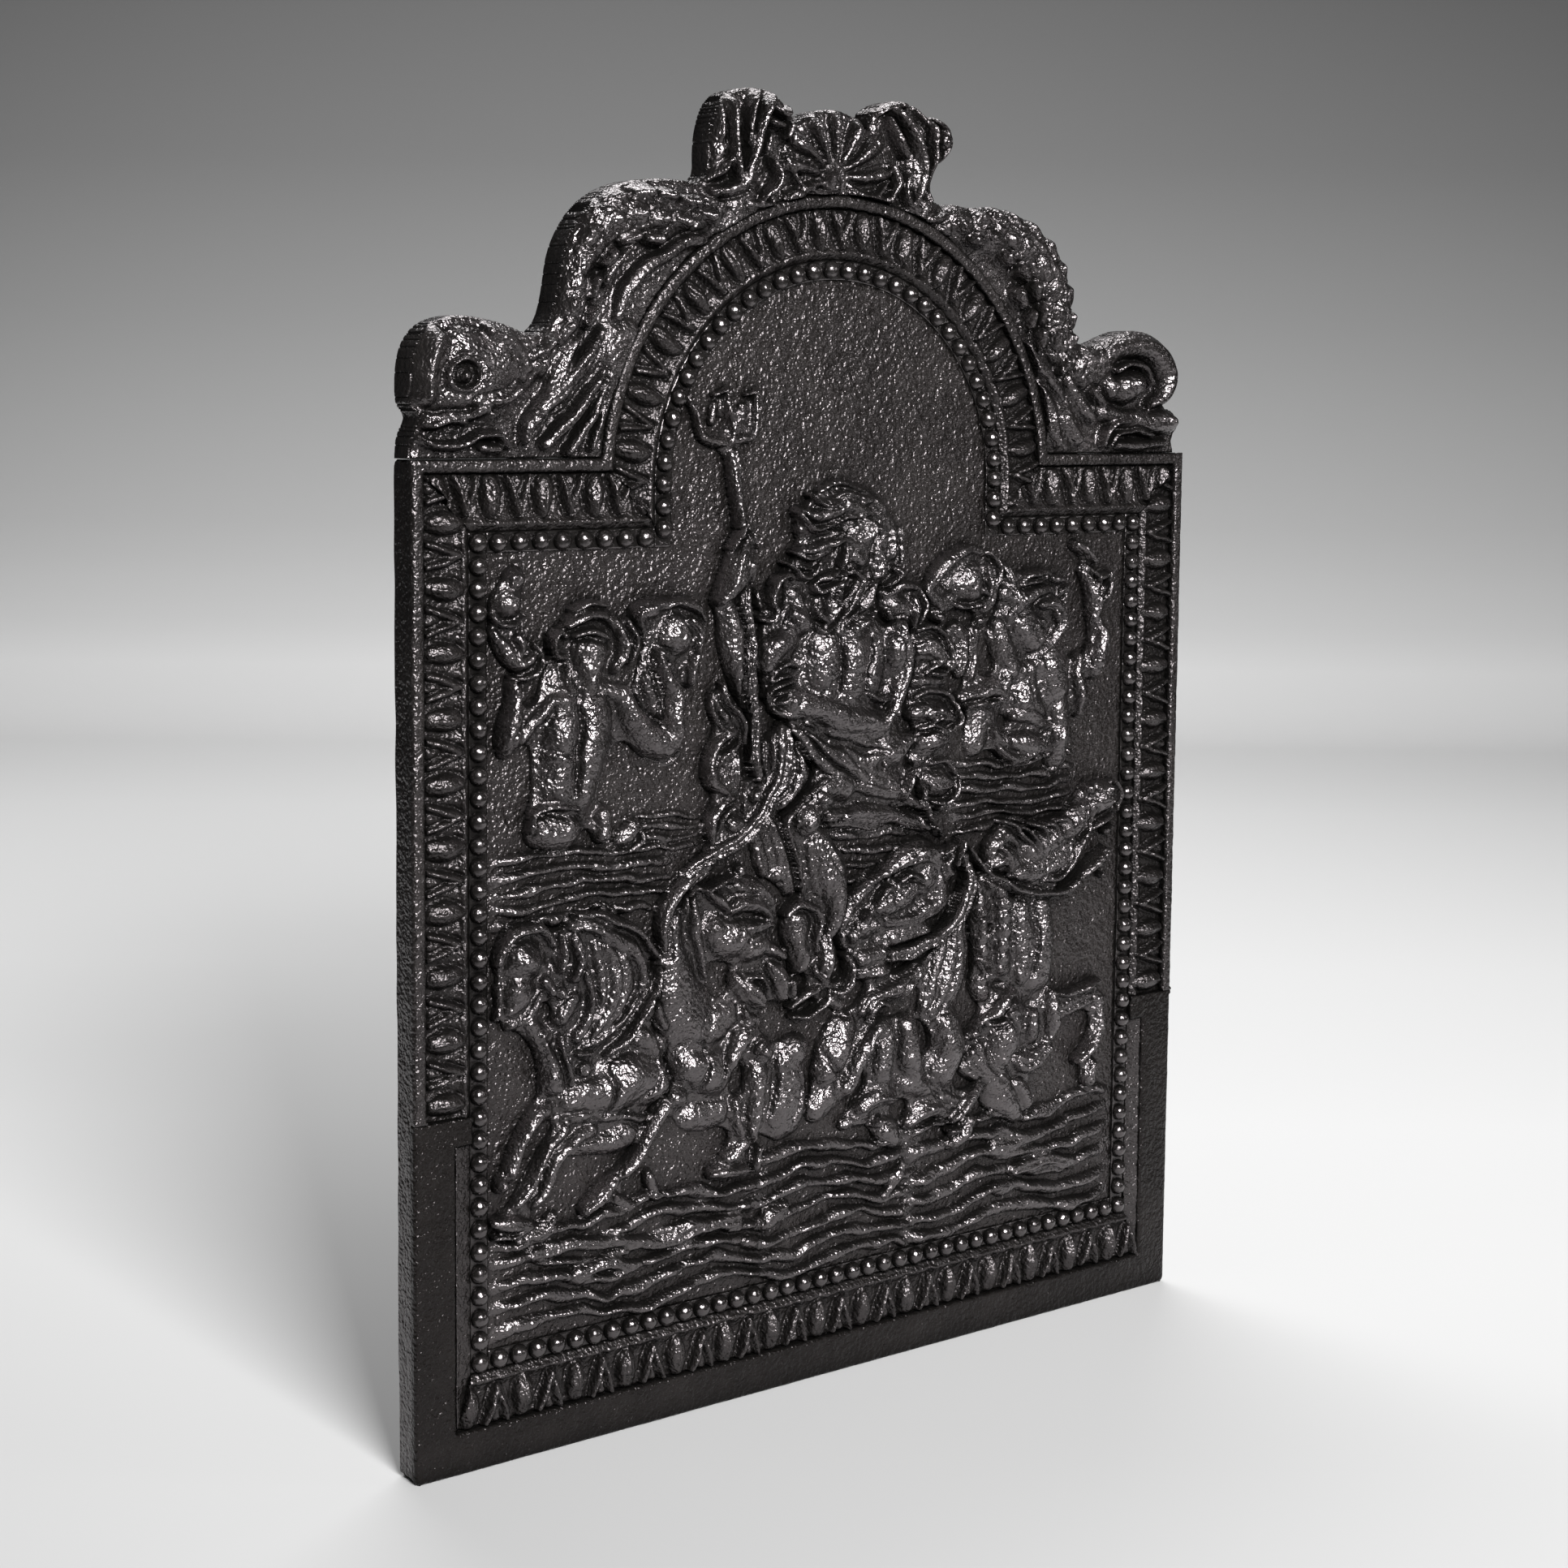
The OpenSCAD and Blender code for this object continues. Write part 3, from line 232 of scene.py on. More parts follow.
# The figures, from the back of the scene to its front
figures = {
    "waves_left": [
        *waterRows(-197, -96, 254.5, 284, 5, 1.8, 80, 4.2, 3),
        *waterRows(-132, -82, 281, 296, 4, 1, 60, 3, 4),
        limb(-124,296,1.6,4, -118,292,1.8,4.6, -117,286,1.8,4.6, -122,282,1.4,3),
    ],
    "waves_middle": waterRows(-2, 62, 252, 277, 4, 1.2, 90, 4, 5),
    "waves_right": waterRows(78, 166, 272, 306, 6, 1.6, 85, 4.4, 6),
    "waves_low": [
        *waterRows(-197, -40, 62, 110, 6, 3.6, 95, 5.2, 7),
        *waterRows(-52, 60, 60, 118, 7, 3, 90, 5, 8),
        *waterRows(50, 196, 62, 116, 6, 3.6, 100, 5.2, 9),
        lock(2, -176,96,4,5, -150,97,4,6, -128,94,4,6, -100,90,4,5, -76,92,4,6, -56,92,3,4),
        lock(3, -42,86,4,6, -38,90,5,7, -30,92,4,5),
        lock(2, -152,82,4,6, -136,84,4,6.5, -120,80,4,5),
        lock(2, 36,90,3,5, 42,96,3.5,7, 48,101,2.5,5),
        lock(3, 110,100,5,6, 136,100,5,6, 160,103,4,5),
        lock(2, 124,84,4,6, 146,86,4.5,6, 166,82,4,5),
    ],
    "nymph": [
        limb(-106,370,11,5, -108,352,14,4.5, -106,336,13,4.5, -100,327,7,4),
        lock(3, -114,364,4,6, -110,352,4,5.5, -112,342,3,5),
        limb(-88,372,4,8, -90,360,4,7),
        limb(-97,384,13,9.5),
        lock(3, -119,384,4,8, -119,393,4.5,9, -113,397,5,10, -104,400,3,8),
        lock(2, -106,398,3,9, -96,400,3.2,10, -86,396,3,9, -82,390,2.5,8),
        lock(2, -90,390,3.4,11, -86,385,4,11.5, -88,378,3,10),
        limb(-108,376,3,9, -104,373,2.4,9),
        swell(-101,384,3,0.8), swell(-96,382,1.6,1.3, -97,378,1.4,1.4), groove(-99,387,1.2,0.5),
    ],
    "triton_left": [
        limb(-139,301,5,7, -139,292,5.5,7.5), lock(3, -130,288,3,5, -124,291,5,6, -120,294,3,5),
        limb(-172,297,10,9, -161,297,10.5,10.5),
        limb(-180,298,1.8,8, -177,305,2,10, -166,308,2.2,11.5, -156,306,2,10.5, -151,298,1.8,8),
        limb(-154,360,19,8.5, -154,344,23,9, -156,328,20,9, -159,312,17,8.5),
        swell(-165,351,9,2.5, -165,342,11,4.4, -166,334,8,2.4), swell(-166,327,9.5,3.2, -167,316,8,2.8),
        swell(-145,358,8.5,2.6, -143,344,11,4.6, -147,328,10.5,4.2, -150.5,315,9,3.2),
        groove(-155,358,1.6,2.6, -154,336,1.9,3.6, -157,314,1.6,2.6),
        groove(-172,335,1.4,1.6, -160,332,1.4,1.6),
        limb(-176,348,4,8, -170,355,5,10, -162,357,5,10.5), limb(-146,362,8,9, -134,359,6,9),
        limb(-188,367,4,8, -188,354,5.5,10, -190,342,7,11, -192,335,4,8),
        limb(-186,340,4.5,8, -180,346,4.6,9, -173,352,4.5,9.5),
        limb(-131,358,7.5,9.5, -124,346,8.5,11.5, -112,335,9,11.5, -104,332,8,10.5),
        limb(-102,334,7.5,10.5, -100,343,7.5,12, -102,355,6.5,11.5, -106,365,5,10.5, -108,373,4,9.5),
        lock(2, -127,391,2.6,8, -123,382,3,9, -125,373,2.6,8),
        limb(-150,363,6,9), limb(-148,379,11.5,12.4, -148,370,10,12.8, -148,365,7,11.4),
        limb(-160,377,2.2,9, -166,379,2.4,10, -168,385,2.2,10.5, -164,389,2.2,10.5, -160,386,2,10),
        limb(-160,371,2.4,9, -160,364,2.6,9.5, -156,360,2,9),
        lock(2, -159,391,3,10, -152,396,3.8,12, -143,395,3.8,11.5, -137,390,3,10.5),
        limb(-156,399,2,8, -149,401,2.4,10, -140,400,2.2,9),
        limb(-157,386,2,12, -150,389,2.6,13, -142,385,2.4,12.5),
        lock(3, -137,392,3.4,10.5, -132,386,4.2,11.5, -131,377,4.2,11, -134,369,3.6,10),
        swell(-149,381,5,0.8), groove(-152.5,377.5,1.5,1), groove(-145.5,377.5,1.5,1),
        limb(-149,379,0.9,12.6, -149.2,374.6,1.4,13.5), groove(-149,369.8,1.9,0.8), swell(-149,366,2.4,0.7),
    ],
    "conch_left": [
        limb(-187,413.5,6.5,7), groove(-187,414,3,0.8), limb(-191,403.5,8.5,8),
        limb(-199,398,1.6,7, -195,394.5,1.7,8, -190,393.6,1.7,8.5, -184,396,1.6,7),
        limb(-197,390,3,6, -191,381,4.5,8, -183,376,4.5,8.5, -178,377,3,8),
        limb(-190,369.5,1.4,7, -183,368.2,1.7,8.5, -176,370.5,1.8,9, -174.5,377,1.7,9, -179,383,1.4,8),
        lock(2, -188,387,2.4,8, -184,383,3,9.5, -184,379,2,8),
        limb(-174,374,1.8,7, -168,376,1.8,7),
    ],
    "triton_right": [
        limb(98,330,11,5, 93,318,8,5),
        lock(3, 90,376,5,6, 90,364,5,6, 88,354,5,6),
        limb(150,332,9,9, 150,318,8.5,10, 150,306,8,7), swell(150,317,6,1),
        limb(163,362,2.5,7, 161,350,4.5,9, 164,340,5,10, 165,330,3,7),
        limb(124,352,10,8, 127,338,12,10, 134,328,10,8), lock(2, 118,332,3,8, 132,328,3,8, 146,322,2,7),
        limb(104,318,3,7, 110,311.5,3.4,9, 122,309,3.6,10, 134,312,3.4,9, 140,320,3,7),
        limb(117,317,6,9, 128,316,8,11, 137,311,5,8),
        limb(103,322,2.4,8, 110,316,2.4,9), limb(116,306,2.2,7, 128,307,2.2,7),
        limb(140,358,16,9, 143,344,15,9), swell(146,356,11,3.6, 149,344,9,3), swell(129,356,8,2.6),
        limb(112,352,5,8, 110,345,4,8),
        lock(3, 82,342,4,7, 92,344,5,9, 102,347,6,10.5, 109,343,4,9),
        limb(84,338,1.8,8, 94,340,1.8,10), limb(99,339,1.8,9, 107,341,1.8,9),
        limb(176,378,5,8, 178,366,7,11, 175,352,6.5,9), swell(174,366,3,1, 177,356,3,1),
        lock(3, 168,404,4,7, 173,396,5,9, 176,387,5,10, 174,380,4,8),
        limb(177,402,2,8, 179,394,2.2,9, 176,388,1.8,8), limb(185,404,2,7, 186,395,2.2,8, 181,388,2,7),
        limb(105,378,6,7, 111,366,8,8, 116,356,8,8),
        lock(4, 110,408,5,7, 114,399,6,9.5, 118,391,7,10, 112,384,6,8),
        limb(122,380,13,10, 131,372,11,10),
        lock(4, 108,396,5,9, 118,392,6,11, 130,395,6,11, 140,396,5,9),
        limb(117,401,2.2,8, 128,405,3.4,9.5, 139,406,3,9, 142,401,2,8),
        limb(118,400,1.4,9, 130,401,1.6,11, 138,404,1.4,10),
        limb(144,402,3.5,9, 150,401,2.6,9), limb(148,394,3.5,8, 155,396,3,7, 150,388,2.4,7),
        lock(3, 134,388,4,10, 144,388,6,11.5, 150,379,5.5,10, 146,370,5,9, 138,365,4,8),
        limb(143,384,1.8,12, 146,380,2,12), limb(132,380,1.8,11, 136,377,1.6,10),
        swell(126,386,5,1), groove(126,382,1.6,0.8), swell(129,378,1.8,1.8), swell(122,376,4,1),
        groove(130,371.5,2,0.8),
    ],
    "conch_right": [
        limb(88,402,13.5,8.5),
        lock(2, 96,410,3,9, 100,402,4,10.5, 99,393,4,10, 93,388,3,8), limb(93,400,1.8,10, 98,396,1.8,11),
        lock(2, 60,400,3.5,7, 66,409,4.4,9.5, 75,416,4.4,9.5, 86,419,3.6,8, 96,417,3,7),
        limb(97,417,2.2,8, 103,410,2.4,9, 104,401,2.4,9, 101,392,2,8),
        limb(74,393,1.6,7, 80,390.5,1.8,8.5, 90,391,2,10, 97,394,1.6,9),
        lock(2, 58,397,4,7, 65,393,5,8, 73,396,4,7), limb(66,386,5.5,6.5), limb(92,382,3,6, 95,383,2,7),
        limb(161,420,2.8,7, 168,415,3.4,9, 174,411,2.6,8), limb(168,408,2.2,6, 178,402,3,7, 186,404,2,6),
    ],
    "horse_1": [
        limb(-150,146,7,5, -130,145,7,6, -112,147,6,5),
        strap(-160,159,2.6,7, -142,157.5,2.2,7, -122,154,2,6, -108,152,1.6,5),
        limb(-154,169,10,8, -138,168,13,11, -122,173,15,12, -110,168,12,10),
        swell(-130,168,6,1, -122,176,5,1),
        limb(-108,186,8,6, -118,192,8,6), limb(-104,196,4,7, -108,206,4,8),
        lock(4, -138,247,11,8, -132,228,14,10, -136,208,12,9, -146,194,7,7),
        limb(-119,214,1.8,7, -128,204,2,9, -142,195,1.8,8, -152,192,1.4,6),
        limb(-153,255,2,8, -138,252,2.4,9, -126,247,2.6,9, -116,238,2.6,9, -110,229,2.6,9),
        lock(2, -158,252,3,8, -147,249,4,10, -134,244,4.4,10, -124,236,4.4,10, -119,226,3.6,9,
             -118,216,3,8),
        limb(-109,222,2.4,9, -112,211,2.7,11, -121,200,2.8,11, -130,192,2.5,10, -138,186,1.8,8),
        lock(2, -156,246,4.5,9, -152,236,4.5,10, -156,226,4,9),
        limb(-163,249,3,8, -161,240,3.4,9, -163,231,3,8),
        lock(2, -149,228,3,8, -147,217,3.4,9, -149,204,3,8, -154,196,2.4,7),
        limb(-161,206,6,7, -157,214,6,7), limb(-163,219,4,9), limb(-172,226,5,8, -168,220,4,8),
        limb(-186,224,11,10, -190,216,7,8), limb(-197,226,2,7, -198,212,1.8,6),
        limb(-184,238,13,11.5), swell(-188,238,5,1.2, -180,236,6,1.4),
        groove(-178,228,1.4,0.8, -184,225,1.2,0.8),
        lock(2, -197,238,2.6,8, -193,247,3,9.5, -184,252,3.2,10, -173,251,3,9, -167,245,2.6,8),
        limb(-190,208,4,6, -180,213,4,7, -174,220,2,7),
        limb(-181,208,5,8, -174,198,5.5,9, -168,186,6.5,10.5, -167,177,7,10),
        limb(-175,202,1.6,10, -171,192,1.6,11), swell(-169,181,2.6,1.8),
        groove(-165,172,1.6,0.8, -160,175,1.2,0.8),
        limb(-162,198,2.2,8, -161,188,2.6,9, -158,176,2,8),
        limb(-151,182,5.5,8.5), groove(-151,182,2.6,2), limb(-155,190,1.8,8, -147,189,1.8,8),
        limb(-170,165,6,7, -177,161,5.5,9, -184,149,4.4,8, -190,139,4.6,8), limb(-195,134,4.6,9),
        groove(-191,138,1,0.8),
        limb(-160,155,4,6, -170,142,3.6,8, -180,128,4,8, -187,121,3.4,6),
        limb(-146,153,4.5,7, -158,148,4,9, -167,136,4,9, -172,127,4.2,9, -178,122,3.4,8),
        lock(2, -198,116,3,7, -190,114,5.5,10, -181,112,4.4,8),
        limb(-198,109,1.6,7, -188,108,1.8,8, -179,110,1.6,7),
        lock(3, -186,104,3.5,5, -172,106,5,6, -166,112,4,5),
        groove(-140,181,1.4,1.8, -137,170,2,3.2, -141,158,1.5,2), swell(-129,172,7,1.4),
        groove(-122,161,1.3,1.6, -113,168,1.9,2.8, -110,180,1.3,1.8),
    ],
    "horse_4": [
        limb(96,152,9,7, 108,140,11,8, 114,126,12,8.5, 124,116,8,7), limb(126,130,7,7, 134,121,6,6),
        lock(3, 90,148,6,6, 100,140,6,7, 108,132,4,6),
        limb(127,228,7,6, 128,208,9,8, 128,192,9,8), limb(142,228,8,7, 141,208,11,9, 139,190,12,8),
        limb(86,163,2.4,7, 93,164,4,8), limb(90,154,5,7),
        ribbed(7, 92,246,4,7, 95,233,5.5,9.5, 97,220,6.5,10, 98,206,6.5,9, 99,192,7.5,9, 100,184,6,7),
        ribbed(7.5, 100,246,4,7, 110,236,7,10, 113,222,7.4,10, 113,208,6.5,9, 114,196,6,7),
        limb(98,219,5,10), limb(94,224,1.4,11, 100,224,1.5,12, 103,219,1.5,12, 99,215,1.4,11.5),
        groove(98,219,2.4,1.4),
        limb(104,194,4,9.5), limb(94,203,2,9, 97,197,2.4,10),
        limb(156,177,2,7, 166,176,2.6,8, 176,179,2.6,8, 184,180,1.8,6),
        lock(2, 158,168,5,5, 170,170,6,6, 184,172,4,5),
        limb(186,170,5,6, 185,156,5.5,7, 180,146,4.5,9, 170,138,3.4,9), limb(178,126,6,8, 182,134,4,7),
        limb(147,178,5,9, 148,166,6.5,11, 147,154,5,8), limb(136,168,5,7, 136,156,5,6),
        lock(2, 124,146,5,7, 134,142,8,9.5, 146,148,6,8),
        limb(118,172,11,11, 114,160,13,13, 112,150,9,10),
        limb(96,168,3,8, 104,173,4,11, 112,180,4.5,11.5, 119,184,3,9),
        limb(100,167,2,9, 110,170,2.4,11.5, 119,173,2,10),
        limb(130,238,8,7, 148,238,6,7), limb(124,246,9,8, 146,250,10,9, 160,258,8,9),
        limb(134,258,10,8, 150,264,9,10, 168,276,8,10),
        lock(3, 103,258,5,8, 107,264,6,10, 114,268,5,9, 120,262,4,8),
        lock(3, 102,252,5,9, 111,256,7,11.5, 118,252,6,10),
        limb(108,262,1.8,12, 112,256,2,12.5, 114,248,1.8,11),
        limb(111,274,1.5,8, 118,272.5,1.7,9.5, 124,266,1.7,10.5, 131,262,1.6,10),
        limb(120,272,1.5,9, 128,269,1.7,10.5, 134,263,1.7,10.5, 136,258,1.4,9),
        limb(130,273,1.5,9, 137,271,1.8,11, 141,264,1.8,10),
        limb(138,272,2,9, 146,270,2.4,11, 149,264,2,10),
        limb(148,272,2,9, 154,272,2.4,10, 156,264,2,9), limb(158,277,1.6,9, 168,279,1.8,10),
        limb(176,279,9,10, 184,283,9.5,11.5), limb(185,286.5,3.2,13), limb(173,287,4.4,10),
        groove(174,287,2,1.2),
        limb(190,290,2,10, 195,284,2.4,9, 193,276,2.2,8),
        limb(140,242,2.2,8, 152,243,2.6,9.5, 161,250,2.6,10, 166,260,2.6,10, 173,268,2.2,9, 176,276,1.8,8),
        limb(174,267,2.4,8, 180,269.5,2.8,10, 188,273,2.2,9), limb(186,264,2.4,7, 192,266,2,6),
        groove(128,236,1.5,1.8, 134,214,2,3, 133,190,1.5,2.2),
        groove(110,173,1.3,1.8, 118,164,1.9,2.8, 122,152,1.3,1.8),
    ],
    "horse_2": [
        limb(-86,148,9,6, -66,148,8,6), limb(-30,166,12,8, -30,146,15,9, -28,138,12,7), limb(-24,172,9,9),
        limb(-100,246,8,7, -100,224,11,8.5, -92,200,18,9.5, -88,186,18,9),
        limb(-62,196,8,7, -74,190,10,8), limb(-90,174,13,12, -76,168,14,11.5), swell(-86,175,7,1.2),
        limb(-98,160,8,10), swell(-101,160,4,1.4),
        limb(-104,155,6,9, -112,147,5,9.5, -121,134,4.6,9.5, -128,127,4.4,9),
        limb(-133,124,5,8, -141,118,5.5,9.5, -148,113,4,8), lock(2, -124,112,3,7, -132,116,4,8),
        limb(-112,122,4,6, -108,112,3.5,5),
        limb(-52,192,7,8, -59,183,7.5,10.5, -66,172,6,10.5), swell(-59,184,4,1.2),
        limb(-46,175,8,10.5), swell(-46,176,3.4,1.6),
        limb(-48,166,6.5,9, -49,150,6,9.5, -53,136,6,9), limb(-62,152,3.6,8, -62,142,4,9.5, -60,134,3.4,9),
        limb(-58,130,5,9, -66,124,4.4,8), lock(3, -76,116,3.6,7, -66,118,5,10, -56,118,4,9),
        limb(-48,118,3.6,6, -46,126,3,6),
        limb(-87,262,3,7, -87,246,4.2,8.5, -85,232,4,8, -81,218,3,7),
        limb(-62,258,9,8, -50,252,9,9, -42,244,6,8),
        lock(2, -66,263,2.4,8, -60,257,3,9, -50,257,3,9.5, -42,250,2.6,9, -40,240,2,8),
        limb(-54,257,2.4,11),
        limb(-74,238,11,9, -66,234,13,12, -54,236,10,11, -44,240,6,10),
        lock(3, -68,247,4,11, -58,250,5,11.5, -48,248,4.4,11, -43,241,3,10),
        swell(-76,240,4,1.4), limb(-56,239,2.4,12, -49,240.5,2,12, -42,238,1.6,11),
        limb(-55,227,7,10, -46,228,7,10),
        groove(-58,232,1.6,2, -50,235,1.6,2.4, -41,235,1.6,2.4, -36,231,1.4,2),
        limb(-41,226,5,10.5, -36,223,4.4,10), swell(-38,226,2.4,1.2),
        limb(-93,250,1.5,9, -92,257,1.7,11, -87,261,1.7,11.5, -80,259.5,1.6,11, -72,262.5,1.6,11,
             -66,261,1.4,9),
        limb(-80,259,2.6,9, -75,254,3.4,11, -70,248,2.6,10), groove(-76,255,1.2,1.4, -72,250,1,1.2),
        lock(4, -60,213,5,8, -53,207,9,11.5, -48,202,7,10),
        limb(-55,214,1.8,10, -48,213,1.8,11, -44,207,1.8,11),
        lock(3, -41,217,5,9, -36,210,6.5,11.5, -34,203,5,10), limb(-27,208,4,8, -25,200,4,7),
        limb(-57,198,3.4,9, -54,193,3,8),
        groove(-82,187,1.5,2, -82,174,2.1,3.2, -86,162,1.5,2.2),
        groove(-66,183,1.4,2, -71,172,1.9,3.2, -72,160,1.4,2),
        groove(-38,177,1.5,2, -38,160,2,3, -40,144,1.5,2),
        groove(-24,162,1.4,1.8, -22,148,1.9,2.6, -26,138,1.4,1.8),
    ],
    "cloak": [
        lock(3, 78,380,4,5, 84,370,6,6, 82,356,5,5), limb(54,350,7,5, 64,347,6,5),
        limb(54,312,7,5, 70,311,6,5),
        limb(30,398,4,6, 40,402,4,8, 52,400,3,7), limb(36,392,9,8, 43,388,7,9),
        limb(46,395,1.8,8, 48,388,2.2,10, 48,381,1.8,9), limb(52,398,2,8, 54.5,391,2.4,10, 53,383,2,9),
        limb(30,390,1.6,9, 33,386,1.6,9),
        lock(4, 50,368,7,8, 60,368,9,10.5, 68,362,6,10),
        limb(52,378,2.4,7, 62,379,2.6,8, 70,374,2.4,8.5, 74,366,2.4,9),
        limb(70,372,1.8,10, 71.5,364,2.2,11.5, 68,357,1.8,10),
        limb(54,356,1.6,9, 59,360,1.8,10.5, 66,364,1.6,10),
        limb(58,356,1.6,10, 67,356,1.8,10.5), lock(4, 48,352,4,7, 58,351,5,8, 68,352,4,7),
        lock(4, 50,338,6,8, 62,336,9,11, 72,334,6,9),
        limb(50,344,2,7, 62,347,2.4,8.5, 72,344,2.4,9, 78,336,2.4,9),
        limb(76,340,1.8,10, 78,332,2.2,11, 73,327,2,9.5), limb(55,336,1.4,11, 60,338,1.6,12),
        limb(60,332,1.4,11.5, 66,334,1.6,12),
        lock(5, 53,320,6,8, 63,322,7.5,11, 72,324,5,9), limb(52,328,1.8,8, 60,330,1.8,10.5, 70,326,1.8,10),
        lock(4, 58,303,6,8, 66,300,9,10.5, 73,298,5,9), limb(60,310,2,7, 70,310,2.4,8, 77,303,2.4,8.5),
        limb(78,300,1.8,9, 74,292,2.2,11, 67,287,1.8,9), limb(61,291,1.6,10, 68,290,1.8,11),
        limb(57,298,1.8,8.5, 56.5,290,2.2,10.5, 59,284,2.2,10, 63,281,1.8,8),
        limb(62,279,1.6,7.5, 66,277.5,2.2,9, 68.5,273,1.8,7),
    ],
    "shell_chariot": [
        lock(3, -38,288,5,5, -33,270,6,6, -28,254,5,5), lock(2, -49,282,4,4.5, -44,264,4,4.5),
        limb(-36,262,5,5),
        lock(3, -16,284,4,5, -2,287,6,7, 20,285,7,7.5, 44,282,6,7, 60,278,3,6),
        limb(-74,352,4,5, -70,342,5,6), lock(3, -62,322,6,5, -62,312,6,5.5, -58,305,5,5),
        lock(2, -44,328,3,5, -44,316,4,5.5),
        limb(-77,355,1.5,6, -77,345,1.7,7, -73,338,1.7,7, -66,334,1.6,7),
        limb(-71,359,1.6,8, -69,351,2,9.5, -63,343.5,2,9.5, -59,337,1.8,9, -58,330,1.6,8),
        limb(-64,335,2.4,7, -73,331,3.4,8, -78,321,3.6,8.5, -76,311,3.6,8.5, -69,304,3,8),
        limb(-62,332,1.5,9, -67,328,1.8,10, -73,324.5,1.8,10, -75,320,1.5,9),
        limb(-65,302,2.4,7, -74,298,3,8, -77,290,3.4,8.5, -76,280,2.6,7),
        limb(-62,300.5,1.4,9, -67,297.5,1.7,10, -72,293.5,1.6,10, -72.5,288,1.3,8),
        limb(-58,311,1.4,7.5, -58,296,1.4,7.5), limb(-59,310,1.3,7.5, -48,310,1.3,7.5),
        limb(-51,302,4.5,8), swell(-50,304,2,1.4), limb(-64,290,6,8, -60,288,6.5,8.5),
        groove(-62,290,1,0.9, -57,287,1,0.9), limb(-48,296,3,6, -54,290,3,6),
        limb(-41,332,1.8,8, -41,322,2.2,9, -42,314,1.8,8),
        limb(-80,267,4,6, -90,262,4.5,7),
        strap(-36,335,3.4,8, -36,322,3.4,9, -38,311,3.4,9, -45,299,3.2,9, -56,287,3,9, -70,278,2.8,8.5,
              -82,273,2.6,8, -92,268,2.4,7),
        limb(-33.4,335,1.3,10, -33.6,320,1.5,11, -36,309,1.5,11, -43,298,1.5,11, -53,287,1.5,11,
             -67,277,1.4,10.5, -82,271,1.2,9),
        limb(-60,266.5,4.6,7.5), groove(-60,266.5,2,1.2),
        limb(-25,324,4,6, -22,314,5,7.5, -27,304,4.5,7, -34,297,4,7), limb(-38,299,2.4,7, -33,303,2,8),
    ],
    "horse_3": [
        limb(6,180,9,8, 2,168,11,11.5, -4,157,10,10), swell(4,172,5,1.2), limb(-2,146,9,8, -10,140,8,6),
        lock(4, 60,142,9,6, 74,132,9,7, 84,128,7,7), lock(3, 8,128,4,5, 20,132,5,6),
        lock(4, 82,234,6,7, 80,216,10,8.5, 74,196,15,9.5, 70,184,13,8),
        lock(4, 17,186,4,8, 28,192,6,10, 42,196,7,10.5, 54,203,6,9),
        limb(20,183,2,10, 26,188,2.4,11.5, 32,186,2,10), limb(42,192,2.2,11, 48,197,2.2,11.5),
        limb(46,174,8,10, 48,160,9.5,11.5, 52,148,8,9), limb(74,172,11,11, 76,160,11.5,12.5, 72,148,11,10),
        swell(70,171,4.5,1.2),
        limb(48,144,8,8, 60,140,8,7),
        limb(32,172,8,9, 31,158,8.5,10, 30,146,8,8),
        limb(30,177,4,9, 20,169,5,11, 13,158,5.4,11.5, 6,148,6,10), limb(23,175,1.8,12, 19,165,1.8,12.5),
        lock(3, 38,138,5,8, 28,140,6.5,10.5, 17,136,5,9), limb(28,128,4,10), limb(34,122,8,9, 40,116,6,7),
        lock(3, 50,122,4,7, 58,128,6,9.5, 68,130,6,9, 76,124,4,7),
        lock(2, 98,136,3,8, 92,131,4.4,10.5, 86,124,4,10, 80,120,3,8),
        limb(92,120,4.6,9, 86,112,6.5,10, 80,108,5,8), limb(76,114,1.8,10, 82,115,1.8,11),
        limb(18,212,7,7, 32,214,7,7), lock(2, 16,204,4,7, 28,206,5,9.5, 34,208,3,7), limb(8,218,5,6),
        limb(40,222,8,7, 58,223,8,8),
        lock(3, 34,232,5,8, 52,232,7,9, 70,240,7,8), limb(70,252,8,8, 68,244,8,8),
        limb(60,252,11,9, 44,246,11,11, 28,240,9,11), limb(18,232,9.5,11), limb(12,226,5,8),
        limb(16,236,3.4,12.5), limb(22,231,3.6,12.5), groove(28,236,1.4,1.6, 30,230,1.2,1.4),
        lock(2, 38,243,3.4,11, 48,246,4.6,12, 56,244,3,10),
        lock(2, 5,222,3,8, 3.5,233,3.6,9, 9,244,4,10, 20,251,4,10, 32,256,3.6,10),
        lock(5, 32,257,5,9, 44,262,8,11.5, 56,264,9,12, 66,258,7,10),
        limb(24,243,1.8,11.5, 30,248,1.8,12, 33,249,1.4,11),
        limb(38,251.5,2,11.5, 45,254,2.4,12.5, 53,251.5,2,11),
        limb(50,265,1.6,12.5, 57,267,1.8,13, 63,263,1.5,12),
        limb(74,252,3.4,9, 72,257,3,10, 75,262,2.4,10), limb(78,256,2.4,9, 80,262,2.8,11, 82,268,2,10),
        limb(76,266,2.2,9, 71,263,2,8),
        groove(60,178,1.8,2.8, 61,162,2.3,4, 62,147,1.8,2.8),
        groove(39,178,1.6,2.4, 39,161,2,3.4, 40,147,1.6,2.4),
        groove(-8,170,1.4,1.8, -2,160,1.9,2.8, 4,152,1.4,1.8),
    ],
    "reins": [
        limb(-78,270,3.4,6, -91,264,4.4,8, -101,254,4.4,8.5, -107,242,3.6,8, -106,230,2.6,6),
        strap(83,259,2.6,9, 85,248,3.2,10.5, 82,236,3.4,11, 75,226,3.6,11, 65,219,3.6,10.5, 52,214.5,3.4,10,
              36,213,3,8),
